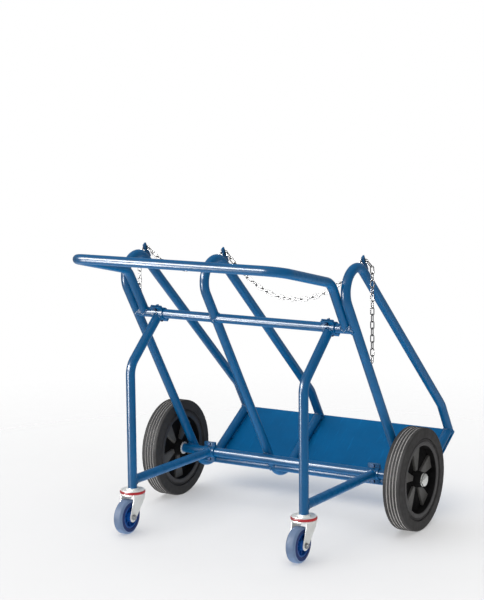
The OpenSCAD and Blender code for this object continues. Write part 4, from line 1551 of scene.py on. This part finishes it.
class TROLLEY_OT_chain(Operator):
    """Build the chain tabs and the retaining chain"""

    bl_idname = "trolley.chain"
    bl_label = "Chain"

    def execute(self, context):
        t, c = tubes(), chains()
        reach = X_AXIS * upright_run() / 2
        anchors = bmesh.new()
        for name, x in hoop_places():
            bm = bmesh.new()
            prism(bm, tab_outline(), x - c.tab_t / 2, x + c.tab_t / 2, leaning() @ ON_EDGE, bevel=0.0006)
            painted("chain_tab_" + name, bm, "_plate")
            at = anchor_at(x)
            add_link(anchors, at - reach, at + reach, True)
        zinc = [finish("chain_zinc")]
        piece("chain_anchor_links", anchors, zinc, "frame", ["chain_anchors"])
        runs = (
            ("chain_left", "chain_left", hanging_joints(-t.hoop_x, t.middle_x)),
            ("chain_right", "chain_right", hanging_joints(t.middle_x, t.hoop_x)),
            ("chain_tail_left", "tail_left", tail_joints(-1, c.tail_left_n)),
            ("chain_tail_right", "tail_right", tail_joints(1, c.tail_right_n)),
        )
        for node, body, joints in runs:
            bm = bmesh.new()
            links_along(bm, joints)
            piece(node + "_links", bm, zinc, body, [node])
        return {"FINISHED"}


# Stage

def floor_finish():
    """A pale floor that takes the shadow near the trolley and fades into the backdrop further out."""
    look = stage_look()
    made, shader = node_material("pale_floor")
    cloudy = ramped(made, noise(made, 2.5, 3), 0.3, 0.7)
    toned = mixed(made, cloudy, tinted(look.floor, 0.985), look.floor)
    feed(made, shader, {"Base Color": toned, "Roughness": 0.6, "Specular IOR Level": 0.2})
    at = new_node(made, "TexCoord", {}).outputs["Object"]
    distance = new_node(made, "VectorMath", {0: at})
    distance.operation = "LENGTH"
    far = ramped(made, distance.outputs["Value"], look.fade_start, look.fade_end, look.floor_glow)
    clear = new_node(made, "BsdfTransparent", {}).outputs["BSDF"]
    fade = new_node(made, "MixShader", {"Fac": far, 1: shader.outputs["BSDF"], 2: clear})
    feed(made, made.node_tree.nodes["Material Output"], {"Surface": fade.outputs["Shader"]})
    return made


def studio_world():
    """Even light that is bright near the horizon and dimmer above, and plain white behind the trolley."""
    look = stage_look()
    white = (1, 1, 1, 1)
    world = bpy.data.worlds.new("studio")
    world.use_nodes = True
    light = world.node_tree.nodes["Background"]
    at = new_node(world, "TexCoord", {}).outputs["Generated"]
    height = new_node(world, "SeparateXYZ", {"Vector": at}).outputs["Z"]
    level = ramped(world, height, 0.05, 0.9, look.horizon_light, look.zenith_light)
    feed(world, light, {"Color": white, "Strength": level})
    backdrop = new_node(world, "Background", {"Color": white, "Strength": 1.0}).outputs["Background"]
    seen = new_node(world, "LightPath", {}).outputs["Is Camera Ray"]
    choose = new_node(world, "MixShader", {"Fac": seen, 1: light.outputs["Background"], 2: backdrop})
    feed(world, world.node_tree.nodes["World Output"], {"Surface": choose.outputs["Shader"]})
    return world


def aimed(name, data, height, away):
    """A lamp that stands away from a point above the floor's middle and faces it."""
    lamp = added(name, data)
    lamp.location = Z_AXIS * height + away
    lamp.rotation_euler = (-away).to_track_quat("-Z", "Y").to_euler()
    return lamp


def wide_lamp(name, strength, away):
    """A wide lamp that lights the trolley and shows in no highlight."""
    look = stage_look()
    data = bpy.data.lights.new(name, "SUN")
    data.energy = strength
    data.angle = look.sun_spread
    aimed(name, data, look.aim_z, away).visible_glossy = False


def gloss_lamp(name, power, wide, high, height, away):
    """A flat lamp that shows only in highlights."""
    data = bpy.data.lights.new(name, "AREA")
    data.shape = "RECTANGLE"
    data.size = wide
    data.size_y = high
    data.energy = power
    aimed(name, data, height, away).visible_diffuse = False


def camera_axes():
    """The camera's right, up and ahead directions."""
    look = stage_look()
    level_ahead = Vector((-math.sin(look.yaw), math.cos(look.yaw), 0))
    ahead = level_ahead * math.cos(look.pitch) - Z_AXIS * math.sin(look.pitch)
    level = Vector((math.cos(look.yaw), math.sin(look.yaw), 0))
    down = ahead.cross(level)
    right = level * math.cos(look.roll) + down * math.sin(look.roll)
    up = level * math.sin(look.roll) - down * math.cos(look.roll)
    return right, up, ahead


class TROLLEY_OT_stage(Operator):
    """Build the floor, the light and the camera"""

    bl_idname = "trolley.stage"
    bl_label = "Stage"

    def execute(self, context):
        look = stage_look()
        right, up, ahead = camera_axes()
        edge = look.floor_reach
        corners = ((-edge, -edge), (edge, -edge), (edge, edge), (-edge, edge))
        bm = bmesh.new()
        new_face(bm, [bm.verts.new((x, y, 0)) for x, y in corners])
        floor = added("studio_floor", mesh_from("studio_floor", bm, [floor_finish()]))
        floor.visible_shadow = False
        context.scene.world = studio_world()

        wide_lamp("overhead", look.sun_light, Z_AXIS * 4 - right)
        wide_lamp("fill", look.fill_light, Z_AXIS * 1.5 - ahead * 4)
        wide_lamp("front", look.front_light, Z_AXIS * 2.5 + ahead * 4)
        wide_lamp("bounce", look.bounce_light, Z_AXIS * -3 - ahead * 0.5)
        to_eye = Vector((math.sin(look.yaw), -math.cos(look.yaw), 0))
        level = Matrix.Rotation(-look.box_turn, 3, "Z") @ to_eye
        raised = level * math.cos(look.box_rise) + Z_AXIS * math.sin(look.box_rise)
        box_away = raised * look.box_reach
        strip_away = level * look.strip_reach
        gloss_lamp("softbox", look.box_light, look.box_w, look.box_h, look.aim_z, box_away)
        gloss_lamp("strip", look.strip_light, look.strip_w, look.strip_h, look.strip_z, strip_away)

        data = bpy.data.cameras.new("camera")
        data.sensor_fit = "VERTICAL"
        data.sensor_height = SENSOR_H
        data.lens = look.focal * 1000
        data.clip_end = 200
        camera = added("camera", data)
        turn = Matrix((right, up, -ahead)).transposed().to_4x4()
        camera.matrix_world = Matrix.Translation(look.eye) @ turn
        context.scene.camera = camera
        context.scene.view_settings.view_transform = "Standard"
        return {"FINISHED"}


OPERATORS = (
    TROLLEY_OT_stage,
    TROLLEY_OT_hoops,
    TROLLEY_OT_cross_tubes,
    TROLLEY_OT_footplate,
    TROLLEY_OT_handle,
    TROLLEY_OT_axle,
    TROLLEY_OT_main_wheels,
    TROLLEY_OT_castor_frames,
    TROLLEY_OT_clamps,
    TROLLEY_OT_castors,
    TROLLEY_OT_chain,
)
GROUPS = (
    ("trolley_tubes", TubeSizes),
    ("trolley_castors", CastorSizes),
    ("trolley_wheels", WheelSizes),
    ("trolley_chain", ChainSizes),
    ("trolley_finishes", Finishes),
    ("trolley_stage", StageLook),
)


class TROLLEY_PT_panel(Panel):
    """Lists the trolley's pieces in the sidebar"""

    bl_idname = "TROLLEY_PT_panel"
    bl_label = "Trolley"
    bl_space_type = "VIEW_3D"
    bl_region_type = "UI"
    bl_category = "Trolley"

    def draw(self, context):
        for operator in OPERATORS:
            self.layout.operator(operator.bl_idname)


def register():
    """Adds the property groups, the operators and the panel."""
    for name, group in GROUPS:
        bpy.utils.register_class(group)
        setattr(bpy.types.Scene, name, PointerProperty(type=group))
    for shown in (*OPERATORS, TROLLEY_PT_panel):
        bpy.utils.register_class(shown)


def unregister():
    """Takes away what register adds."""
    for shown in (TROLLEY_PT_panel, *reversed(OPERATORS)):
        bpy.utils.unregister_class(shown)
    for name, group in reversed(GROUPS):
        delattr(bpy.types.Scene, name)
        bpy.utils.unregister_class(group)


def main():
    """Builds the stage and every piece."""
    register()
    bpy.ops.trolley.stage()
    bpy.ops.trolley.hoops()
    bpy.ops.trolley.cross_tubes()
    bpy.ops.trolley.footplate()
    bpy.ops.trolley.handle()
    bpy.ops.trolley.axle()
    bpy.ops.trolley.main_wheels()
    bpy.ops.trolley.castor_frames()
    bpy.ops.trolley.clamps()
    bpy.ops.trolley.castors()
    bpy.ops.trolley.chain()


if __name__ == "__main__":
    main()
